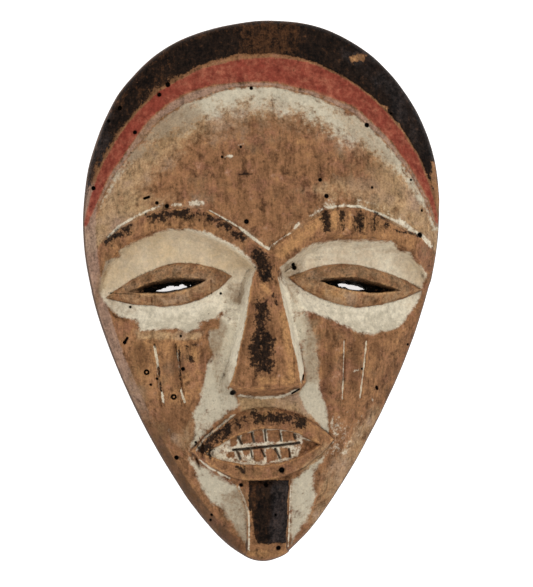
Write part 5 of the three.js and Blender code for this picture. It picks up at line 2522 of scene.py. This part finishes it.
        # Mottled brown film, with painted shade beside the nose and on the lower lip.
        soil_and_painted_shade = layer[Layer.SOIL_AND_PAINTED_SHADE] + at.patch * 0.4 + at.blotch * 0.4 + at.fine * 0.25
        tone = mix(soil_and_painted_shade.ramp(0.1, 1.3) * 0.75, tone, self.soil_and_painted_shade)

        red = (layer[Layer.RED] + at.blotch * 0.3 + at.fine * 0.25).ramp(-0.3, 0.6)
        tone = mix(red * 0.94, tone, self._red(at))
        flaked = at.patch * 0.35 + at.blotch * 0.75 + at.fine * 0.4 + at.lines * 0.25
        black = (layer[Layer.BLACK] + flaked).ramp(-0.15, 0.65)
        # Painted reflection on the black; the same layer also lowers the roughness below.
        gloss_and_painted_reflection = (layer[Layer.GLOSS_AND_PAINTED_REFLECTION] + at.patch * 0.5 + at.blotch * 0.3).ramp(-0.2, 1.2)
        tone = mix(black * 0.96, tone, self._black(at, gloss_and_painted_reflection))

        # Painted shade mixed with dirty darkening: creases, hollows and the eye slits go dark.
        grime_and_painted_shade = layer[Layer.GRIME_AND_PAINTED_SHADE] + layer[Layer.HOLLOW] * 0.8 + at.blotch * 0.5
        grime_and_painted_shade = (grime_and_painted_shade + at.fine * 0.4 - cream * 0.3).ramp(0.35, 1.5)
        pits = (at.specks * 0.8 + at.fine * 0.4 + at.blotch * 0.3).ramp(1.0, 1.5)
        tone = mix((grime_and_painted_shade * 0.85).most(pits * 0.6), tone, self.dirt_and_painted_shade)
        mottled = at.specks * 0.3 + at.lines * (0.14 - at.patch * 0.1) + at.blotch * 0.26
        mottled = mottled + at.clouds * 0.36
        share = 1.0 - chalk.most(cream) * 0.62 - red * 0.3 + black * 1.2
        tone = tone * (1.0 + mottled * share).most(0.2)

        # Side wall colour, which along the lower left edge is painted shade.
        wall = (layer[Layer.WALL] + at.patch * 0.15).ramp(0.2, 0.9)
        worn = (at.grain * 0.5 + at.patch * 0.4 + at.blotch * 0.4).ramp(-0.6, 1.0)
        tone = mix(wall * 0.96, tone, mix(worn, self.wall, self.wood_dark))
        # Painted shade: near black deep in the eye slits and inside the holes and cracks.
        slit = layer[Layer.SLIT] + at.fine * 0.3 + at.blotch * 0.3 + at.specks * 0.1
        hole = layer[Layer.HOLE].ramp(-0.2, 0.15).most(slit.ramp(0.45, 0.75))
        tone = mix(hole, tone, self.hole)

        roughness = 0.62 + chalk * 0.28 + red * 0.2 - gloss_and_painted_reflection * black * 0.2 + at.fine * 0.04
        height = at.grain * 0.05 + at.specks * 0.06 + at.blotch * 0.03 - cracks * 0.12
        height = height + chalk * 0.12 + black * 0.04 + cream * 0.08 - grime_and_painted_shade * 0.06
        at.graph.surface(
            {"Base Color": tone, "Roughness": roughness, "Specular IOR Level": 0.06}, height
        )
        return at.graph.material


@dataclass(frozen=True)
class RawWood:
    """Unpainted gouged wood of the hollow.

    Attributes:
        wood: The wood.
        dark: Its dark grain.
        light: Its pale patches.
    """

    wood: str = "#6f5238"
    dark: str = "#3f2c1c"
    light: str = "#96734f"

    def material(self) -> bpy.types.Material:
        """Make the material.

        Returns:
            The material.
        """
        g = Graph("raw_wood")
        place = g.place()
        grain = g.noise(place, 1.3, 4.0, 0.6, (1.0, 0.08, 1.0))
        patch = g.noise(place, 7.0, 3.0)
        fine = g.noise(place, 0.6, 2.0)
        tone = g.mix((grain * 0.6 + patch * 0.5).ramp(-1.0, 0.8), self.dark, self.wood)
        rubbed = (grain * 0.4 + patch * 0.5 + fine * 0.2 - 0.4).ramp(0.0, 1.0)
        tone = g.mix(rubbed * 0.6, tone, self.light)
        inputs = {"Base Color": tone, "Roughness": 0.78 + fine * 0.05, "Specular IOR Level": 0.3}
        g.surface(inputs, grain * 0.05 + fine * 0.03, 0.8)
        return g.material


@dataclass
class Mask:
    """The carved mask.

    Attributes:
        shell: Its form.
        paint: Where its paint lies.
        relief: How its hollows and edges are found.
        centring: Sideways shift that centres its box on the frame.
        front_net: Net of the front and side wall.
        hollow_net: Net of the hollow.
        crisp: Edges sharper than this many degrees stay crisp.
        gouging: How far the gouged hollow may lie from its smooth form.
    """

    shell: Shell = field(default_factory=Shell)
    paint: PaintPlan = field(default_factory=PaintPlan)
    relief: ReliefReader = field(default_factory=ReliefReader)
    centring: float = 0.31
    front_net: NetMaker = NetMaker(10, 0.04, 8)
    hollow_net: NetMaker = NetMaker(8, 0.05, 8)
    crisp: float = 50.0
    gouging: float = 2.4

    def build(self) -> bpy.types.Object:
        """Build and dress the mask.

        Returns:
            The finished object.
        """
        block = self._solid(self.front_net.cover(self.shell.carved_point), "block")
        hollow = self._solid(self.hollow_net.cover(self.shell.hollow_point), "hollow")
        cut = block.modifiers.new("hollow", "BOOLEAN")
        cut.operation, cut.solver, cut.object = "DIFFERENCE", "MANIFOLD", hollow
        evaluated = block.evaluated_get(bpy.context.evaluated_depsgraph_get())
        mesh = bpy.data.meshes.new_from_object(evaluated)
        for tool in (block, hollow):
            bpy.data.objects.remove(tool)
        mesh.name = "carved_mask"
        mask = bpy.data.objects.new("carved_mask", mesh)
        bpy.context.scene.collection.objects.link(mask)
        self._dress(mesh)
        log.info("mask has %d faces", len(mesh.polygons))
        return mask

    def _solid(self, net: Net, name: str) -> bpy.types.Object:
        """Make a closed mesh object from a net in millimetres.

        Args:
            net: The open net.
            name: Name of the object.

        Returns:
            The object.
        """
        closed = net.closed()
        points = (closed.points + np.array([self.centring, 0.0, 0.0])) * MM
        mesh = bpy.data.meshes.new(name)
        mesh.from_pydata(points.tolist(), [], closed.triangles.tolist())
        solid = bpy.data.objects.new(name, mesh)
        bpy.context.scene.collection.objects.link(solid)
        return solid

    def _dress(self, mesh: bpy.types.Mesh) -> None:
        """Give the mesh its paint layers and materials.

        Args:
            mesh: The mask's mesh.
        """
        count = len(mesh.vertices)
        flat = np.empty(count * 3, dtype=np.float32)
        mesh.vertices.foreach_get("co", flat)
        points = flat.reshape(-1, 3).astype(float) / MM - np.array([self.centring, 0.0, 0.0])
        flat_normals = np.empty(count * 3, dtype=np.float32)
        mesh.vertex_normals.foreach_get("vector", flat_normals)
        facing_up = flat_normals.reshape(-1, 3)[:, 2]
        x, y = points[:, 0], points[:, 1]
        front = self.shell.front
        values = self.paint.layers(front, x, y, facing_up) | self.relief.layers(front, x, y)
        for layer, amounts in values.items():
            attribute = mesh.attributes.new(layer.value, "FLOAT", "POINT")
            attribute.data.foreach_set("value", amounts.astype(np.float32))
        mesh.materials.clear()
        mesh.materials.append(PaintedWood().material())
        mesh.materials.append(RawWood().material())
        self._mark_inside(mesh, points)
        mesh.shade_smooth()
        mesh.set_sharp_from_angle(angle=math.radians(self.crisp))

    def _mark_inside(self, mesh: bpy.types.Mesh, points: Array) -> None:
        """Give the hollow and the rim the raw material.

        Args:
            mesh: The mask's mesh, with the painted material first and the raw one second.
        """
        count = len(mesh.polygons)
        centres = np.empty(count * 3, dtype=np.float32)
        normals = np.empty(count * 3, dtype=np.float32)
        mesh.polygons.foreach_get("center", centres)
        mesh.polygons.foreach_get("normal", normals)
        x, y, z = (centres.reshape(-1, 3).astype(float) / MM).T
        x = x - self.centring
        down = normals.reshape(-1, 3)[:, 2]
        outline = self.shell.front.outline
        Y = y / (outline.half_height - self.shell.rim)
        half_width = (outline.half_width - self.shell.rim) * outline.share(Y)
        X = (x - curve(outline.lean, Y)) / half_width
        near = np.abs(z - self.shell.ceiling(X, Y)) < self.gouging
        in_hollow = near & (down < 0.05) & (np.hypot(X, Y) < 1.02)
        inside = in_hollow | ((z < 0.05) & (down < -0.9))
        mesh.polygons.foreach_set("material_index", inside.astype(np.int32))


@dataclass(frozen=True)
class Lamp:
    """A softbox.

    Attributes:
        name: Its name.
        place: Where it hangs, in metres.
        size: Its side length in metres.
        power: Its power in watts.
        tint: Colour of its light.
    """

    name: str
    place: tuple[float, float, float]
    size: float
    power: float
    tint: tuple[float, float, float] = (1.0, 1.0, 1.0)

    def hang(self, target: Vector) -> None:
        """Add the lamp, turned towards a target.

        Args:
            target: Where it points.
        """
        data = bpy.data.lights.new(self.name, "AREA")
        data.size, data.energy, data.color = self.size, self.power, self.tint
        lamp = bpy.data.objects.new(self.name, data)
        lamp.location = self.place
        lamp.rotation_euler = (target - Vector(self.place)).to_track_quat("-Z", "Y").to_euler()
        bpy.context.scene.collection.objects.link(lamp)


@dataclass(frozen=True)
class Studio:
    """Pale floor, soft light and the camera straight above the lying mask.

    Attributes:
        floor_side: Side length of the floor in metres.
        floor_colour: Colour of the floor.
        floor_glow: Own light of the floor, which keeps it white.
        sky: Strength of the even light from all around.
        lamps: The softboxes.
        turn: How far the camera stands to the mask's left, in degrees.
        sight: Height of the point that the camera looks at, in metres.
        lens: Focal length in millimetres.
        picture: Width and height of the photograph in pixels.
        per_pixel: Size of one of its pixels on the mask, in millimetres.
        middle: Picture point that shows the middle of the mask.
    """

    floor_side: float = 6.0
    floor_colour: str = "#f2f2f2"
    floor_glow: float = 0.85
    sky: float = 0.45
    lamps: tuple[Lamp, ...] = (
        Lamp("top_light", (0.25, 0.75, 0.85), 0.8, 3.6),
        Lamp("front_light", (-0.1, -0.3, 1.3), 1.0, 6.5),
        Lamp("left_light", (-0.9, 0.1, 0.25), 0.5, 0.7, (0.92, 0.96, 1.0)),
        Lamp("right_light", (0.9, 0.1, 0.25), 0.5, 0.7, (0.92, 0.96, 1.0)),
    )
    turn: float = 5.0
    sight: float = 0.011
    lens: float = 170.0
    picture: tuple[int, int] = (533, 587)
    per_pixel: float = 190.0 / 540.0
    middle: Point = (262.0, 290.0)

    def set_up(self) -> None:
        """Put up floor, light and camera."""
        self._floor()
        target = Vector((0.0, 0.0, self.sight))
        for lamp in self.lamps:
            lamp.hang(target)
        world = bpy.data.worlds.new("surroundings")
        world.use_nodes = True
        world.node_tree.nodes["Background"].inputs["Strength"].default_value = self.sky
        world.node_tree.nodes["Background"].inputs["Color"].default_value = (1.0, 1.0, 1.0, 1.0)
        bpy.context.scene.world = world
        bpy.context.scene.view_settings.view_transform = "Standard"
        self._camera(target)

    def _floor(self) -> None:
        """Lay the floor."""
        half = self.floor_side / 2.0
        mesh = bpy.data.meshes.new("floor")
        corners = [(-half, -half, 0.0), (half, -half, 0.0), (half, half, 0.0), (-half, half, 0.0)]
        mesh.from_pydata(corners, [], [(0, 1, 2, 3)])
        floor = bpy.data.objects.new("floor", mesh)
        bpy.context.scene.collection.objects.link(floor)
        g = Graph("white_floor")
        white = colour(self.floor_colour)
        g.surface({"Base Color": white, "Roughness": 0.9, "Emission Color": white,
                   "Emission Strength": self.floor_glow})
        mesh.materials.append(g.material)

    def _camera(self, target: Vector) -> None:
        """Set the camera where the photograph was taken from.

        Args:
            target: Where it looks.
        """
        data = bpy.data.cameras.new("camera")
        data.lens, data.sensor_width, data.sensor_fit = self.lens, 36.0, "HORIZONTAL"
        width = self.picture[0] * self.per_pixel * MM
        distance = width * self.lens / data.sensor_width
        data.shift_x = (self.picture[0] / 2.0 - self.middle[0]) / self.picture[0]
        data.shift_y = (self.middle[1] - self.picture[1] / 2.0) / self.picture[0]
        camera = bpy.data.objects.new("camera", data)
        turn = math.radians(self.turn)
        camera.location = target + distance * Vector((-math.sin(turn), 0.0, math.cos(turn)))
        camera.rotation_euler = (0.0, -turn, 0.0)
        bpy.context.scene.collection.objects.link(camera)
        bpy.context.scene.camera = camera


def main() -> None:
    """Build the mask, its stage, light and camera."""
    logging.basicConfig(level=logging.INFO, format="%(message)s")
    mask = Mask().build()
    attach(mask, "root")
    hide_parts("mask")
    log.info("carved mask built")
    Studio().set_up()
    log.info("studio set up")


if __name__ == "__main__":
    main()
